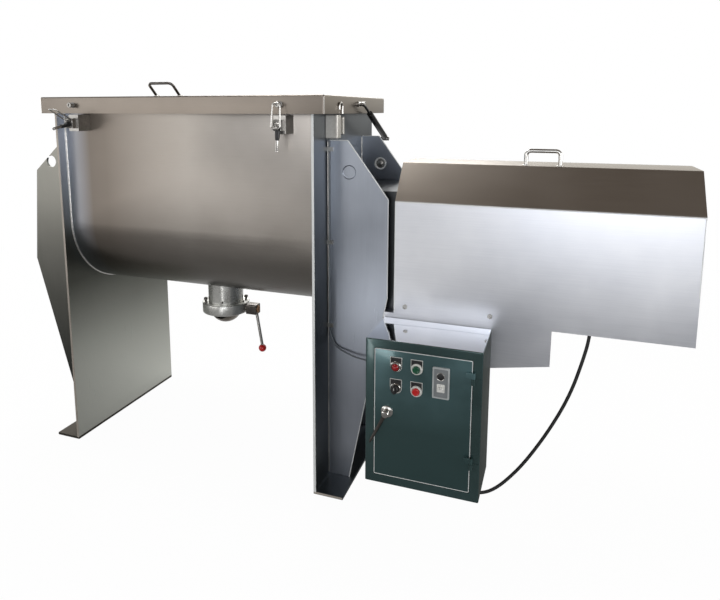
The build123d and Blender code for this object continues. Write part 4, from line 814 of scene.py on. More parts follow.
for node, edge in EDGES_MM.items():
    softened(node, NODE_BODY[node], edge, OTHER_FINISH.get(node))
print(len(EDGES_MM), "nodes softened")

# %% [markdown]
# ## Lid tray
# The lid is one sheet folded down on four sides and welded at the corners. Seen from the front it is a long
# bright band, so its top folds are rolled and its lower edge is a thin square one. The shell goes from the
# ceiling of the tray down the inside of the skirt, round its edge, up the outside and over the top.

# %% Lid tray
LID_SHEET = 2.0
LID_CORNER = 6.0
LID_FOLD = 4.0
SEAM_IN = 1.6
lid_low, lid_high = box_mm("lid_shell")
lid_centre = (lid_low + lid_high) / 2
half_x, half_y, half_z = (lid_high - lid_low) / 2
inside = (half_x - LID_SHEET, half_y - LID_SHEET, LID_CORNER - LID_SHEET)
outside = (half_x, half_y, LID_CORNER)
lid_levels = [(*inside, half_z - LID_SHEET), (*inside, 0.4 - half_z)]
lid_levels += [(*outside, -half_z), (*outside, 0.6 - half_z)]
lid_levels += rolled(*outside, half_z - LID_FOLD, 1, LID_FOLD)
tray = [stacked_shell(lid_levels, lid_centre, "Z", "lid_steel")]
seam = [(1.4, lid_low[2]), (1.5, lid_high[2] - 5)]
for side, front in ((-1, -1), (-1, 1), (1, -1), (1, 1)):
    x = lid_centre[0] + side * (half_x - SEAM_IN)
    y = lid_centre[1] + front * (half_y - SEAM_IN)
    tray.append(turned_shell(seam, (x, y, 0), "Z", "bright_rod", 10))
piece("lid_tray", tray, "lid", "tank_steel", "lid_shell")
softened("lid_gasket", "lid", 1.5)
print("lid", np.round(lid_high - lid_low), "mm")

# %% [markdown]
# ## Drive guard
# The guard is a long folded cover: upright sides, sloped shoulders and a flat roof. Its section is a line
# with rolled folds, given the sheet's thickness and carried along X; each end is a flat plate with the same
# outline, and the near one has an arch where the shaft comes in.

# %% Drive guard
GUARD_SHEET = 2.0
GUARD_FOLD = 5.0
GUARD_SHOULDER = 861.0
GUARD_ROOF_HALF = 76.0
SHAFT_HEIGHT = 750.0
ARCH_R = 70.0
ARCH_STEPS = 25
FOLD_LINE_R = 1.6
FOLD_LINE_STOP = 124.0
guard_low, guard_high = box_mm("guard_shell")
guard_near, guard_front, guard_foot = guard_low
guard_far = guard_high[0]


def guard_section(inset):
    """The guard's outline in (y, z) from the front hem over the roof to the rear hem, inset by the sheet."""
    half = guard_high[1] - inset
    top = guard_high[2] - inset
    roof = GUARD_ROOF_HALF - inset * 0.45
    shoulder = GUARD_SHOULDER - inset * 0.36
    front = [(0, -half, guard_foot), (0, -half, shoulder), (0, -roof, top)]
    rear = [(x, -y, z) for x, y, z in front[::-1]]
    return bent_line(front + rear, GUARD_FOLD - inset, 6)


def guard_end(x0, x1, outline):
    """An end plate: its outline at both faces."""
    loops = np.stack([outline, outline])
    loops[0, :, 0] = x0
    loops[1, :, 0] = x1
    return Shell(loops, "guard_steel")


outer = guard_section(0.0)
inner = guard_section(GUARD_SHEET)
lengths = np.linspace(guard_near, guard_far, 9)
cover = np.repeat(np.vstack([outer, inner[::-1]])[None], len(lengths), 0)
cover[:, :, 0] = lengths[:, None]
turn = np.linspace(0, pi, ARCH_STEPS)
arch = np.column_stack([np.zeros(ARCH_STEPS), ARCH_R * np.cos(turn), SHAFT_HEIGHT + ARCH_R * np.sin(turn)])
arched = np.vstack([inner, [(0, ARCH_R, guard_foot)], arch, [(0, -ARCH_R, guard_foot)]])
near_end = guard_end(guard_near + 0.2, guard_near + GUARD_SHEET, arched)
far_end = guard_end(guard_far - GUARD_SHEET, guard_far - 0.2, inner)
guard = [Shell(cover, "guard_steel"), near_end, far_end]
piece("guard_cover", guard, "frame", "guard_steel", "guard_shell")

# A thin matt near-white bar along the lower fold and down the near edge: a painted highlight.
fold_y = guard_front + 1.0
fold_z = GUARD_SHOULDER - 1
near = guard_near + FOLD_LINE_R
far = guard_far - FOLD_LINE_R
corners = [(near, fold_y, guard_foot + 4), (near, fold_y, fold_z), (far, fold_y, fold_z),
           (far, fold_y, guard_foot + FOLD_LINE_STOP)]
fold_line = bar_shell(corners, 3.0, FOLD_LINE_R, "edge_bright", ALONG_Y, 12)
piece("guard_fold_highlight", [fold_line], "frame", "guard_steel")
print("guard", np.round(guard_high - guard_low), "mm")

# %% [markdown]
# ## Control box
# A sheet box with rolled outer edges and a wide border round its door. It is one shell: from the back over
# the rolled edges to the border, in at the door opening, and along the inside to the back again. The door is
# a shallow pan of the same make, and round its rolled edge runs a thin matt near-white bar: a painted
# highlight.

# %% Control box
BOX_SHEET = 2.0
BOX_EDGE = 3.0
DOOR_BORDER = 24.5
DOOR_GAP = 1.2
DOOR_FLANGE = 14.0
DOOR_EDGE = 2.5
PAN_CORNER = 4.0
TRIM_IN = 0.9
TRIM_CORNER = 3.4
box_low, box_high = box_mm("box_shell")
box_centre = (box_low + box_high) / 2
box_v, back, box_u = (box_high - box_low) / 2
front = -back
lining = front + BOX_SHEET
opening = (box_u - DOOR_BORDER + DOOR_GAP, box_v - DOOR_BORDER + DOOR_GAP, PAN_CORNER)
hollow = (box_u - BOX_SHEET, box_v - BOX_SHEET, BOX_EDGE - 1)
box_levels = [(*hollow, back - BOX_SHEET), (*hollow, lining), (*opening, lining), (*opening, front)]
box_levels += rolled(box_u, box_v, BOX_EDGE, front + BOX_EDGE, -1, BOX_EDGE)[::-1]
box_levels += rolled(box_u, box_v, BOX_EDGE, back - BOX_EDGE, 1, BOX_EDGE)
control_box = stacked_shell(box_levels, box_centre, "Y", "green_panel")
piece("control_box", [control_box], "frame", "green_panel", "box_shell")

door_x = box_v - DOOR_BORDER
door_z = box_u - DOOR_BORDER
flange = front + DOOR_FLANGE
pan = (door_z, door_x, PAN_CORNER)
pan_inside = (door_z - BOX_SHEET, door_x - BOX_SHEET, PAN_CORNER - BOX_SHEET)
door_levels = [(*pan_inside, lining), (*pan_inside, flange), (*pan, flange)]
door_levels += rolled(*pan, front + DOOR_EDGE, -1, DOOR_EDGE)
# The trim round the door's edge is a thin matt near-white bar: a painted highlight.
trim_line = rounded_rectangle(door_x - TRIM_IN, door_z - TRIM_IN, TRIM_CORNER, 5)
trim_path = np.insert(trim_line, 1, front + 0.5, axis=1) + box_centre
trim = carried_shell(trim_path, circle(10), "edge_bright", ring=True, up=TO_FRONT)
door = [stacked_shell(door_levels, box_centre, "Y", "door_green"), trim]
piece("door_pan", door, "door", "door_green", "box_door")
print("control box", np.round(box_high - box_low), "mm")

# %% [markdown]
# ## Handles, catches and hook
# Everything on the lid that a hand or a latch takes hold of is round bar or a turned pin. A bent bar is a
# circle carried along straight runs and tangent arcs. The catch pins have a deep socket in their heads.

# %% Handles, catches and hook
LID_BAR_R = 4.0
GUARD_BAR_R = 5.5
BAR_BEND = 12.0
CATCH_X = 350.0
CATCH_HEIGHT = 1125.0
STUD_PLACE = (-5.0, 1128.0)
HOOK_R = 3.0
HOOK_BEND = 10.5
HOOK_TIP = (-174, 1112)
HOOK_TOP = 1130
HOOK_BACK = -150
WASHER = [(4.5, 0), (8, 0), (8, 2.4), (7, 3.4), (4.5, 4)]
COLLAR = [(GUARD_BAR_R, 0), (9, 0), (9, 1.4), (8, 2.2), (GUARD_BAR_R, 2.6)]
CATCH_FOOT = [(8.5, 0), (8.5, -1.5), (5, -2.5)]
CATCH_HEAD = [(5, 4.5), (7.4, 4.2), (8, 3.4), (8, 0.8), (7.2, 0), (4.6, 0), (4.2, 0.6), (4, 3), (1, 3.4)]
BALL_STUD = [(8, 0), (8, 3), (4.5, 3.6), (4.5, 6), (6.6, 6.6), (6.6, 10), (4, 11.4)]


def bridge(ends, foot, rail, radius, finish, up=ALONG_Z, sides=18):
    """A bar from a foot (y, z) up to its rail (y, z), along X between two ends and down to a second foot."""
    near, far = ends
    corners = [(near, *foot), (near, *rail), (far, *rail), (far, *foot)]
    return bar_shell(corners, BAR_BEND, radius, finish, up, sides)


def started(profile, start):
    """A profile with its distances measured from a start."""
    return [(r, start + along) for r, along in profile]


low, high = box_mm("lid_handle")
ends = (low[0] + 2 * LID_BAR_R, high[0] - 2 * LID_BAR_R)
foot = (high[1] - 2 * LID_BAR_R, lid_high[2])
rail = (low[1] + LID_BAR_R, high[2] - LID_BAR_R)
lid_bar = [bridge(ends, foot, rail, LID_BAR_R, "dark_rod")]
lid_bar += [turned_shell(WASHER, (x, *foot), "Z", "turned_steel") for x in ends]
piece("lid_handle_bar", lid_bar, "lid", "bright_rod", "lid_handle")

low, high = box_mm("guard_handle")
ends = (low[0] + GUARD_BAR_R, high[0] - GUARD_BAR_R)
foot = ((low[1] + high[1]) / 2, guard_high[2])
rail = (foot[0], high[2] - GUARD_BAR_R)
guard_bar = [bridge(ends, foot, rail, GUARD_BAR_R, "bright_rod", ALONG_Y, 22)]
guard_bar += [turned_shell(COLLAR, (x, *foot), "Z", "bright_rod") for x in ends]
piece("guard_handle_bar", guard_bar, "frame", "bright_rod", "guard_handle")

low = box_mm("lid_fittings")[0]
catch = started(CATCH_FOOT, lid_low[1]) + started(CATCH_HEAD, low[1])
fittings = [turned_shell(catch, (x, 0, CATCH_HEIGHT), "Y", "turned_steel") for x in (-CATCH_X, CATCH_X)]
fittings.append(turned_shell(BALL_STUD, (lid_high[0], *STUD_PLACE), "X", "bright_rod"))
hook_x = lid_high[0] + HOOK_R
corners = [(hook_x, *HOOK_TIP), (hook_x, HOOK_TIP[0], HOOK_TOP), (hook_x, HOOK_BACK, HOOK_TOP),
           (hook_x, HOOK_BACK, low[2] + HOOK_R)]
fittings.append(bar_shell(corners, HOOK_BEND, HOOK_R, "bright_rod", ALONG_X))
piece("lid_catches_and_hook", fittings, "lid", "turned_steel", "lid_fittings")
print("bars and pins on the lid and guard")

# %% [markdown]
# ## Toggle latches
# Each latch is a lever on a pin between two ears, with a black grip, a bright rod end and a wire bail that
# goes over the catch. They are drawn closed, hanging down, and then turned about their pivots. The right one
# is closed; the left one hangs open, its lever lifted and its bail fallen forward.

# %% Toggle latches
PIVOT = np.array([-290.0, 1070.0])
BAIL_OFFSET = np.array([-16.0, -8.0])
LEVER_LEAN = atan2(10, 72)
EAR_INNER = 9.7
LUG_HALF = 8.0
WEB_R = 4.2
BAIL_HALF = (13.5, 10.5)
BAIL_END = 6.7
BAIL_RISE = (8, 66)
BAIL_BEND = 5.5
BAIL_R = 2.0
LEFT_OPEN = radians(70)
LEVER_GRIP = [(3, -3), (6, -4.2), (7.4, -7), (7.6, -13), (7, -24), (6.2, -36), (5.4, -40.4), (3.8, -41)]
LEVER_END = [(3.8, -39), (3.8, -48), (4, -49), (4, -68), (4.4, -69), (4.4, -71), (3.2, -72), (1, -72)]


def cross_pin(x, place, half, radius, end_radius):
    """A pin along X at a (y, z) place, with a broken edge at each end."""
    profile = [(end_radius, -half), (radius, 1 - half), (radius, half - 1), (end_radius, half)]
    return turned_shell(profile, (x, *place), "X", "turned_steel")


def latch_lever(x, lift):
    """Hub and lug as turned pieces across, grip and rod end as turned pieces along the arm."""
    middle = (x, *PIVOT)
    lug = PIVOT + BAIL_OFFSET
    hub = cross_pin(x, PIVOT, EAR_INNER, 7, 6)
    eye = cross_pin(x, lug, LUG_HALF, 4.4, 4)
    web = bar_shell([middle, (x, *lug)], 0, WEB_R, "turned_steel", ALONG_X)
    grip = turned_shell(LEVER_GRIP, middle, "Z", "black_plastic", 24).turned(PIVOT, -LEVER_LEAN)
    end = turned_shell(LEVER_END, middle, "Z", "bright_rod", 20).turned(PIVOT, -LEVER_LEAN)
    return [shell.turned(PIVOT, -lift) for shell in (hub, eye, web, grip, end)]


def latch_bail(x, lift):
    """A wire loop from the lug up to the catch and back, turned as far forward as the lever is lifted."""
    lug = PIVOT + BAIL_OFFSET
    top = lug + BAIL_RISE
    low_half, high_half = BAIL_HALF
    corners = [(x - BAIL_END, *lug), (x - low_half, *lug), (x - high_half, *top), (x + high_half, *top),
               (x + low_half, *lug), (x + BAIL_END, *lug)]
    wire = bar_shell(corners, BAIL_BEND, BAIL_R, "bright_rod", ALONG_Y, 14)
    out, drop = BAIL_OFFSET
    moved = PIVOT + (out * cos(lift) + drop * sin(lift), drop * cos(lift) - out * sin(lift))
    return [wire.turned(lug, lift).shifted(0, *(moved - lug))]


piece("right_lever_arm", latch_lever(CATCH_X, 0), "right_lever", "black_plastic", "right_latch_lever")
piece("left_lever_arm", latch_lever(-CATCH_X, LEFT_OPEN), "left_lever", "black_plastic", "left_latch_lever")
piece("right_bail_wire", latch_bail(CATCH_X, 0), "right_bail", "bright_rod", "right_latch_bail")
piece("left_bail_wire", latch_bail(-CATCH_X, LEFT_OPEN), "left_bail", "bright_rod", "left_latch_bail")
print("latch levers and bails")

# %% [markdown]
# ## Gas strut and interlock switch
# The strut is a black cylinder with a thinner black rod, each with an eye. Both are turned pieces, drawn
# upright at the lower stud and leaned to the lid's stud. The switch body and its socket are bright castings.

# %% Gas strut and interlock switch
STRUT_X = 497.0
STRUT_FOOT = np.array([243.0, 1014.0])
CYLINDER_END = 205.0
ROD_START = 47.0
EYE_RIM = [(4.2, -6), (6, -6), (7, -4.8), (7, 4.8), (6, 6), (4.2, 6)]
strut_run = np.array(STUD_PLACE) - STRUT_FOOT
strut_lean = atan2(-strut_run[0], strut_run[1])
strut_length = hypot(*strut_run)


def strut_eye(place):
    """A turned eye across the strut with a round rim."""
    return turned_shell(EYE_RIM, (STRUT_X, *place), "X", "turned_steel", 28)


def leaned(profile):
    """A turned piece along the strut, from its distance along the axis."""
    return turned_shell(profile, (STRUT_X, *STRUT_FOOT), "Z", "black_tube", 28).turned(STRUT_FOOT, strut_lean)


cylinder = [(5, 6.5), (5, 14), (8.5, 15), (9.5, 17), (9.5, 198), (9.1, 200), (9.5, 202),
            (9.1, CYLINDER_END - 0.6), (4.4, CYLINDER_END)]
rod = [(4, ROD_START), (4, strut_length - 14), (5, strut_length - 13), (5, strut_length - 6.5)]
tube = [leaned(cylinder), strut_eye(STRUT_FOOT)]
piston = [leaned(rod), strut_eye(STUD_PLACE)]
piece("strut_cylinder_body", tube, "strut_cylinder", "black_tube", "strut_tube")
piece("strut_rod_body", piston, "strut_piston", "bright_rod", "strut_rod")
softened("interlock_switch", "frame", 2.0, "switch_steel", 3)
print("strut of", round(strut_length), "mm, leaning by", round(np.degrees(strut_lean)), "degrees")

# %% [markdown]
# ## Discharge valve
# Under the trough a short tube ends in a heavy ring that holds the ball. The lever hangs from a dark square
# hub with a bronze bush in its end and carries a red ball knob. The knob is a sphere with a flat where the
# rod goes in: circles of radius sqrt(r*r - h*h) at heights h.

# %% Discharge valve
VALVE_AXIS_Z = 443.0
HUB_HALF = 17.0
HUB_END = 123.0
ROD_TOP = (117.0, 0.0, 433.0)
ROD_END = (137.0, 0.0, 314.0)
LEVER_ROD_R = 5.0
KNOB_R = 13.0
GRUB_PLACE = (18, -55.4, 470)
CAP_PLACES = ((-58, -36), (58, 36))
CAP_SUNK = 15
BUSH = [(12, -2), (12, 0.8), (11, 1.6), (6, 1.6), (5, 0.6), (1, 0.6)]
GRUB_SCREW = [(4.6, 0), (4.6, -2.2), (4, -2.8), (2.6, -2.8), (2.4, -1), (0.5, -1)]
CAP_SCREW = [(4, 0), (4, 8), (6.5, 8), (6.5, 14), (5, 15.5), (3, 15.5), (2.6, 12), (0.5, 12)]
CLAMP_BAND = [(72, 428), (77.5, 428), (79, 429.2), (79.5, 431), (79.5, 459), (79, 460.8), (77.5, 462),
              (72, 462)]
softened("discharge_tube", "frame", 0.6, "valve_steel")
softened("valve_ring", "frame", 2.0, "valve_steel", 3)

hub_low = (box_mm("valve_lever")[0][0], -HUB_HALF, VALVE_AXIS_Z - HUB_HALF)
hub_high = (HUB_END, HUB_HALF, VALVE_AXIS_Z + HUB_HALF)
hub = block_shell(hub_low, hub_high, 2.0, "X", "dark_rod", 4.0)
bush = turned_shell(BUSH, (HUB_END, 0, VALVE_AXIS_Z), "X", "bronze_bush")
lever_rod = bar_shell([ROD_TOP, ROD_END], 0, LEVER_ROD_R, "bright_rod", ALONG_Y)
piece("valve_lever_arm", [hub, bush, lever_rod], "valve", "turned_steel", "valve_lever")

height = np.linspace(-KNOB_R + 0.02, KNOB_R * 0.9, 28)
sphere = np.column_stack([np.sqrt(KNOB_R ** 2 - height ** 2), height])
low, high = box_mm("valve_knob")
knob_place = ((low[0] + high[0]) / 2, 0, low[2] + KNOB_R)
knob = turned_shell(sphere, knob_place, "Z", "red_plastic")
piece("valve_ball_knob", [knob], "valve", "red_plastic", "valve_knob")

cap_z = box_mm("valve_ring")[1][2] - CAP_SUNK
screws = [turned_shell(GRUB_SCREW, GRUB_PLACE, "Y", "dark_rod", 18)]
screws += [turned_shell(CAP_SCREW, (x, y, cap_z), "Z", "dark_rod", 20) for x, y in CAP_PLACES]
piece("valve_screws", screws, "frame", "zinc_bolt")
band = turned_shell(CLAMP_BAND, (0, 0, 0), "Z", "valve_steel", 72, ring=True)
piece("valve_clamp_band", [band], "frame", "turned_steel")
print("valve pieces; knob at", np.round(knob_place))

# %% [markdown]
# ## Controls on the door
# Four standard 22 mm controls stand on small legend plates: a lamp, a start button, a selector and a stop
# button. They are turned pieces, and the selector has a grip across it. A legend plate is square above and
# round below, white with a black field. Each control has its contact block behind the door, which shows
# when the door is open.

# %% Legend plates and bezels
DOOR_FACE = box_low[1]
LEGEND_HALF = 15.5
LEGEND_TOP = 24.0
LEGEND_PROUD = 0.8
LEGEND_FIELD = 1.2
BEZEL_PROUD = 7.0
BEZEL = [(10.5, -20), (10.5, 0), (14.5, 0.6), (14.5, 3.2), (14.1, 4.4), (13.2, 6.5), (12.4, BEZEL_PROUD),
         (11.4, 6.9), (10.6, 6.2), (9.8, 4)]
RING_NUT = [(13.5, -3), (13.5, -9), (12.5, -10)]
CONTACT_HALF = (14, 19)
CONTACT_DEPTH = (DOOR_FACE + 21, DOOR_FACE + 44)
BEZEL_FINISH = {"indicator_lamp": "bright_rod", "start_button": "white_plastic",
                "selector_knob": "bright_rod", "stop_button": "white_plastic"}


def control_place(node):
    """Middle (x, z), front, back and radius of a control, in millimetres."""
    low, high = box_mm(node)
    x, _, z = (low + high) / 2
    return x, z, low[1], high[1], (high[0] - low[0]) / 2


def door_turned(profile, x, z, finish, sides=40):
    """A turned piece on the door at (x, z), its distances measured outwards from the door's face."""
    return turned_shell([(r, DOOR_FACE - out) for r, out in profile], (x, 0, z), "Y", finish, sides)


def door_block(x, z, half, depth, edge, finish, corner):
    """A block on the door about (x, z): half its width and height, and the Y of its front and back."""
    low = (x - half[0], depth[0], z - half[1])
    high = (x + half[0], depth[1], z + half[1])
    return block_shell(low, high, edge, "Y", finish, corner)


def legend_plate(x, z, inset, rear, proud, finish):
    """A plate with a round lower end about the control and a square upper end."""
    half = LEGEND_HALF - inset
    top = z + LEGEND_TOP - inset
    turn = np.linspace(pi, 2 * pi, 19)
    round_end = np.column_stack([x + half * np.cos(turn), z + half * np.sin(turn)])
    outline = np.vstack([round_end, [(x + half, top), (x - half, top)]])
    return Shell([np.insert(outline, 1, y, axis=1) for y in (rear, rear - proud)], finish)


legends = []
bezels = []
for node, finish in BEZEL_FINISH.items():
    x, z = control_place(node)[:2]
    legends.append(legend_plate(x, z, 0.0, DOOR_FACE, LEGEND_PROUD, "white_plastic"))
    legends.append(legend_plate(x, z, LEGEND_FIELD, DOOR_FACE - LEGEND_PROUD, 0.4, "black_plastic"))
    bezels.append(door_turned(BEZEL, x, z, finish))
    bezels.append(door_turned(RING_NUT, x, z, "black_plastic", 24))
    bezels.append(door_block(x, z, CONTACT_HALF, CONTACT_DEPTH, 1.5, "grey_plastic", 2.0))
piece("legend_plates", legends, "door", "black_plastic")
piece("button_rings", bezels, "door", "turned_steel", "button_bezels")
print(len(legends) // 2, "legend plates with bezels")

# %% Lamp, buttons and selector
LAMP_RING = [(9.2, 6.8), (11.6, 7), (11.6, 8.2), (9.2, 9)]
SELECTOR_RISE = 4.2


def button(node, finish):
    """A flat push button with a rounded rim and a slightly hollow face."""
    x, z, front, back, r = control_place(node)
    profile = [(r - 0.5, back), (r, back - 1), (r, front + 1.6), (r - 0.5, front + 0.5), (r - 1.6, front),
               (r * 0.6, front + 0.5), (0.5, front + 0.7)]
    return turned_shell(profile, (x, 0, z), "Y", finish)


piece("start_button_cap", [button("start_button", "green_plastic")], "start", "green_plastic", "start_button")
piece("stop_button_cap", [button("stop_button", "red_plastic")], "stop", "red_plastic", "stop_button")

x, z, front, back, r = control_place("indicator_lamp")
turn = np.linspace(0, pi / 2 - 0.03, 12)
dome = np.column_stack([r * np.cos(turn), front + r - r * np.sin(turn)])
stem = [(r - 0.4, back), (r, back - 1), (r, DOOR_FACE - BEZEL_PROUD + 1.0)]
lamp = turned_shell(np.vstack([stem, dome]), (x, 0, z), "Y", "lamp_red")
piece("lamp_lens", [lamp, door_turned(LAMP_RING, x, z, "dark_rod")], "door", "lamp_red", "indicator_lamp")

x, z, front, back, r = control_place("selector_knob")
disc = front + SELECTOR_RISE
base = [(r, back), (r, disc + 1), (r - 0.8, disc), (1, disc - 0.2)]
mark_depth = (front - 0.15, front + 0.4)
selector = [
    turned_shell(base, (x, 0, z), "Y", "black_plastic"),
    door_block(x, z, (3.2, r - 0.6), (front, disc + 2), 0.9, "black_plastic", 2.4),
    door_block(x, z + r / 2 + 0.2, (0.7, r / 2 - 1.8), mark_depth, 0.15, "white_plastic", 0.5),
]
piece("selector_grip", selector, "selector", "black_plastic", "selector_knob")
print("lamp, two buttons and a selector")

# %% [markdown]
# ## Timer
# The timer is a plug-in instrument: a light frame that stands out from the door, a darker field set back
# in it, a round black window above and a white setting knob on a square white skirt below.

# %% Timer
TIMER_RIM = 4.0
FIELD_BACK = 1.4
WINDOW_PLACE = (-1.0, 17.0)
SKIRT_HALF = (10, 11)
timer_low, timer_high = box_mm("timer_body")
x, _, z = (timer_low + timer_high) / 2
half_x, _, half_z = (timer_high - timer_low) / 2
dial_x, dial_z, dial_front, dial_back, dial_r = control_place("timer_knob")
plate_front = timer_low[1]
field = plate_front + FIELD_BACK
inner_x = half_x - TIMER_RIM
inner_z = half_z - TIMER_RIM
rim = [(half_z, half_x, 3.0, DOOR_FACE)] + rolled(half_z, half_x, 3.0, plate_front + 1.2, -1, 1.2)
rim += [(inner_z, inner_x, 1.5, plate_front), (inner_z, inner_x, 1.5, field)]
window = [(10.6, field), (10.6, field - 1.2), (9.8, field - 1.8), (9.2, field - 1.4)]
glass = [(9.2, field - 0.4), (9.0, field - 1.5), (6, field - 2.2), (1, field - 2.5)]
window_place = (x + WINDOW_PLACE[0], 0, z + WINDOW_PLACE[1])
timer = [
    stacked_shell(rim, (x, 0, z), "Y", "grey_plastic"),
    door_block(x, z, (inner_x - 0.2, inner_z - 0.2), (field - 0.3, field + 0.2), 0.1, "field_grey", 1.2),
    turned_shell(window, window_place, "Y", "bright_rod"),
    turned_shell(glass, window_place, "Y", "black_plastic"),
    door_block(dial_x, dial_z, SKIRT_HALF, (field - 1.1, field), 0.5, "white_plastic", 2.0),
    door_block(x, z, (half_x - 3, half_z - 3), (DOOR_FACE, timer_high[1]), 2.0, "black_plastic", 3.0),
]
piece("timer_front", timer, "door", "grey_plastic", "timer_body")

r = dial_r
dial = [(2.5, dial_back), (2.5, plate_front), (r, plate_front - 0.4), (r, plate_front - 1.8),
        (r - 1.4, plate_front - 2.4), (r - 1.8, dial_front + 0.8), (r - 2.6, dial_front),
        (0.5, dial_front + 0.3)]
mark_depth = (dial_front - 0.1, dial_front + 0.5)
dial_shells = [
    turned_shell(dial, (dial_x, 0, dial_z), "Y", "white_plastic"),
    door_block(dial_x, dial_z + r / 2 - 0.9, (0.6, r / 2 - 1.9), mark_depth, 0.1, "black_plastic", 0.4),
]
piece("timer_dial", dial_shells, "timer", "white_plastic", "timer_knob")
print("timer", np.round(2 * half_x), "by", np.round(2 * half_z), "mm")

# %% [markdown]
# ## Door lever and hinges
# The door is held by a chromed lever on a round rose, with a cam behind the door. The lever is an oval
# section carried along a short curve and growing slimmer towards its end. The hinge knuckles on the door
# wear the door's green, the painted reflection.

# %% Door lever and hinges
LEVER_X = 671.0
LEVER_Z = 334.0
LEVER_REACH = 95.0
LEVER_TURN = radians(244)
LEVER_DIP = 1.5
ROSE = [(16, 0), (16, 1.4), (15, 2.6), (12, 3.6), (9, 3.9), (5.2, 3.9)]
KNUCKLE_R = 5.0
KNUCKLE_LENGTH = 16.0
KNUCKLE_FEET = (460.0, 235.0)
KNUCKLE = [(4.2, 0.1), (KNUCKLE_R, 0.8), (KNUCKLE_R, KNUCKLE_LENGTH - 0.8), (4.2, KNUCKLE_LENGTH)]
TAB_LENGTH = 18
TAB_FOOT = 9
knuckle_x = box_mm("box_door")[1][0] - KNUCKLE_R
knuckle_y = DOOR_FACE - 6.0
tab_x = knuckle_x - TAB_LENGTH
tab_runs = ((knuckle_x, knuckle_y - 3, knuckle_y + 2), (tab_x + TAB_FOOT, knuckle_y, DOOR_FACE))
door_metal = [door_turned(ROSE, LEVER_X, LEVER_Z, "bright_rod")]
for z in KNUCKLE_FEET:
    door_metal.append(turned_shell(KNUCKLE, (knuckle_x, knuckle_y, z), "Z", "door_green", 24))
    for far, front, rear in tab_runs:
        high = (far, rear, z + KNUCKLE_LENGTH - 1)
        door_metal.append(block_shell((tab_x, front, z + 1), high, 0.8, "Z", "door_green", 1.2))
piece("door_rose_and_knuckles", door_metal, "door", "door_green")

lever_front = box_mm("door_lever")[0][1]
proud = DOOR_FACE - lever_front
share = np.linspace(0, 1, 22)
reach = share * LEVER_REACH
arm_y = lever_front + 4.2 + LEVER_DIP * np.sin(share * pi) ** 2
arm_path = np.column_stack([LEVER_X + reach * cos(LEVER_TURN), arm_y, LEVER_Z + reach * sin(LEVER_TURN)])
slim = np.interp(share, [0, 0.12, 0.3, 0.9, 1], [6.5, 5.2, 4.6, 3.6, 1.2])
flat = np.interp(share, [0, 0.12, 0.9, 1], [4.0, 3.6, 2.6, 1.0])
arm = carried_shell(arm_path, circle(20), "dark_rod", up=TO_FRONT)
arm = grown(arm, arm_path, np.column_stack([slim, flat, slim]))
boss = [(5, -24), (5, 4.2), (9.4, 4.4), (9.4, proud - 6), (9.8, proud - 2.4), (8.4, proud - 0.6), (4, proud)]
lever = [
    arm,
    door_turned(boss, LEVER_X, LEVER_Z, "bright_rod"),
    door_block(LEVER_X, LEVER_Z + 19, (7, 26), (DOOR_FACE + 18, DOOR_FACE + 22), 0.8, "zinc_bolt", 3.0),
]
piece("door_lever_arm", lever, "door_latch", "bright_rod", "door_lever")
print("lever", LEVER_REACH, "mm long")

# %% [markdown]
# ## Ribbons
# Inside the trough two flat strips on edge wind round the shaft, one turn in each half, of opposite hands in
# the two halves, so that the outer pair brings powder to the middle and the inner pair takes it back out. A
# ribbon is a rectangle with broken edges carried along a helix: its long side always points at the shaft.

# %% Ribbons
RIBBON_START = 14.0
RIBBON_LENGTH = 400.0
RIBBON_THICK = 6.0
RIBBON_STEPS = 97
BROKEN_EDGE = 0.8
OUTER_RIBBON = (180.0, 220.0)
INNER_RIBBON = (98.0, 130.0)


def ribbon(radii, start_turn, hand, side):
    """One turn of strip between two radii, from the middle of the trough to one end."""
    turn = np.linspace(0, 2 * pi, RIBBON_STEPS)
    phase = start_turn + hand * turn
    mid = sum(radii) / 2
    rise = RIBBON_LENGTH / (2 * pi)
    none = np.zeros(RIBBON_STEPS)
    out = np.column_stack([none, -np.sin(phase), np.cos(phase)])
    ahead = np.column_stack([none + rise, -hand * mid * np.cos(phase), -hand * mid * np.sin(phase)])
    ahead /= np.linalg.norm(ahead, axis=1)[:, None]
    across = np.cross(ahead, out)
    half = (radii[1] - radii[0]) / 2
    thick = RIBBON_THICK / 2
    edge = BROKEN_EDGE
    upper = [(half, thick - edge), (half - edge, thick), (edge - half, thick), (-half, thick - edge)]
    section = np.array(upper + [(-u, -v) for u, v in upper])
    line = np.column_stack([RIBBON_START + rise * turn, none, none + SHAFT_HEIGHT]) + out * mid
    loops = line[:, None] + section[:, 0, None] * out[:, None] + section[:, 1, None] * across[:, None]
    loops[:, :, 0] *= side
    return Shell(loops, "ribbon_steel")


outer_pair = [ribbon(OUTER_RIBBON, 0.0, 1, side) for side in (1, -1)]
inner_pair = [ribbon(INNER_RIBBON, pi, -1, side) for side in (1, -1)]
piece("outer_ribbons", outer_pair, "agitator", "ribbon_steel", "outer_ribbon")
piece("inner_ribbons", inner_pair, "agitator", "ribbon_steel", "inner_ribbon")
print("two outer and two inner ribbons")

# %% [markdown]
# ## Weld beads
# Where the trough meets the leg plates a polished bead runs down one side, round the bottom and up the
# other. It shows in the picture as a bright line. Smaller beads hold the gussets. Each bead is a thin round
# bar along the joint, sunk by half into the sheets that it joins, with a slow ripple along its length.

# %% Weld beads
TROUGH_OUTER = 229.0
TROUGH_RIM = 1128.0
PLATE_INNER = 433.0
PLATE_OUTER = 441.0
GUSSET_SHEET = 8.0
TROUGH_BEAD = 3.2
GUSSET_BEAD = 2.2
WALL_STEPS = 70
GUSSET_STEPS = 160


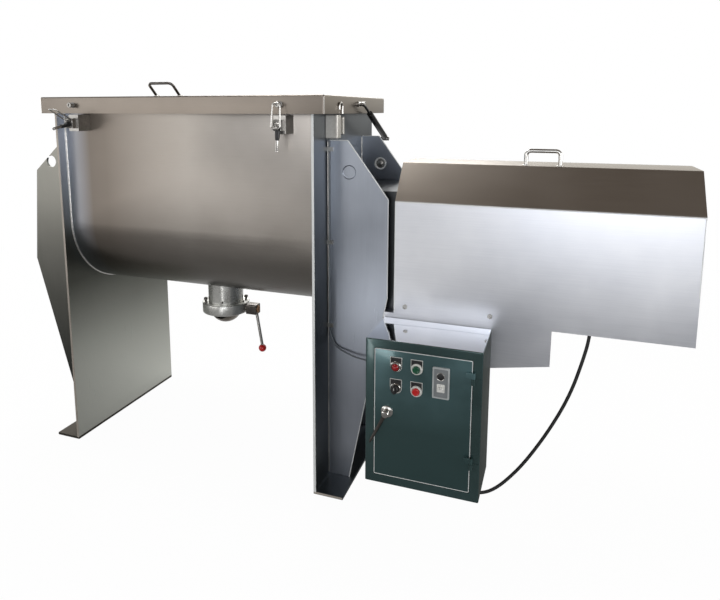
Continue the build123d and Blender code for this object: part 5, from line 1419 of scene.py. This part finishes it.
def bead(path, radius, finish="weld_bright"):
    """A bead along a line of points, thicker and thinner by some hundredths every few millimetres."""
    ripple = radius * (1 + 0.06 * np.sin(np.arange(len(path)) * 1.9))
    return grown(carried_shell(path, circle(8), finish, up=ALONG_X), path, ripple[:, None])


turn = np.linspace(pi, 2 * pi, 121)
curve = np.column_stack([TROUGH_OUTER * np.cos(turn), SHAFT_HEIGHT + TROUGH_OUTER * np.sin(turn)])
sides = np.linspace(TROUGH_RIM, SHAFT_HEIGHT, WALL_STEPS, endpoint=False)
front_wall = np.column_stack([np.full(WALL_STEPS, -TROUGH_OUTER), sides])
rear_wall = np.column_stack([np.full(WALL_STEPS, TROUGH_OUTER), sides[::-1]])
joint = np.vstack([front_wall, curve, rear_wall])
beads = [bead(np.insert(joint, 0, x, axis=1), TROUGH_BEAD) for x in (-PLATE_INNER, PLATE_INNER)]
for node, x in (("left_gussets", -PLATE_OUTER), ("right_gussets", PLATE_OUTER)):
    low, high = box_mm(node)
    rise = np.linspace(low[2] + 4, high[2] - 3, GUSSET_STEPS)
    for y in (low[1], low[1] + GUSSET_SHEET, high[1] - GUSSET_SHEET, high[1]):
        path = np.column_stack([np.full(GUSSET_STEPS, x), np.full(GUSSET_STEPS, y), rise])
        beads.append(bead(path, GUSSET_BEAD, "turned_steel"))
piece("weld_beads", beads, "frame", "tank_steel")
print(len(beads), "weld beads")

# %% [markdown]
# ## Painted highlight edges and plugs
# The cut edges of the leg plates and of the right gussets catch the light as thin lines, and these lines are
# painted: matt near-white or cream strips and bars. On a leg it is a flat strip on the edge, on a gusset a
# fine bar round its outline, and a cream strip runs along the front of the right foot. The lift holes of the
# right
# gussets are closed by turned plugs: a flat one in front and one with a raised middle behind, whose rim is a
# painted highlight ring.

# %% Painted highlight edges and plugs
LEG_FRONT = -261.0
LEG_TOP = 1131.0
FOOT_END = 523.0
GUSSET_FACES = (-158.0, 150.0)
GUSSET_CORNERS = [(507, 8), (620, 582), (620, 864), (501, 1026), (444, 1026)]
GUSSET_BEND = 6.0
GUSSET_LINE_R = 1.3
LIFT_HOLE = (505.0, 0.0, 937.0)
FRONT_PLUG = [(19.9, -151), (19.9, -157), (19.2, -157.5), (18.4, -157), (18.2, -155.7), (17.6, -155.5),
              (16.6, -155.5), (0.5, -155.5)]
REAR_RIM = [(19.9, 157), (19.9, 150.4), (19, 149.6), (16.4, 149.8), (15.6, 151.4), (15.4, 155)]
REAR_MIDDLE = [(15.5, 154), (9, 153.6), (8.6, 150.6), (7.2, 149.6), (5, 149.2), (0.5, 149)]
edges = []
# Matt cream strip on the left leg's front edge and along the right foot, near-white on the right leg's:
# painted highlights.
for side, finish in ((-1, "edge_cream"), (1, "edge_bright")):
    near, far = sorted((side * PLATE_INNER, side * PLATE_OUTER))
    high = (far - 0.5, LEG_FRONT + 1, LEG_TOP)
    edges.append(block_shell((near + 0.5, LEG_FRONT - 1, 6), high, 0.8, "Z", finish, 0.9))
low = (PLATE_INNER + 1, LEG_FRONT - 0.8, 1)
high = (FOOT_END - 1, LEG_FRONT + 1, 7)
edges.append(block_shell(low, high, 0.6, "X", "edge_cream", 0.8))
# Near-white bars round the right gussets' faces: painted highlights.
for y in GUSSET_FACES:
    corners = [(x, y, z) for x, z in GUSSET_CORNERS]
    edges.append(bar_shell(corners, GUSSET_BEND, GUSSET_LINE_R, "edge_bright", ALONG_Y, 10))
piece("painted_highlight_edges", edges, "frame", "tank_steel")

# The rear plug's rim is matt near-white: a painted highlight ring.
plug_looks = ((FRONT_PLUG, "gusset_steel"), (REAR_RIM, "edge_bright"), (REAR_MIDDLE, "turned_steel"))
plugs = [turned_shell(profile, LIFT_HOLE, "Y", finish) for profile, finish in plug_looks]
piece("lift_hole_plugs", plugs, "frame", "tank_steel")
print(len(edges), "painted highlight edges and two plugs")

# %% [markdown]
# ## Bounds of the dressed machine
# The box of the dressed machine is worked out from every shown piece, with the backdrop left out.

# %% Bounds of the dressed machine
low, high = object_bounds()
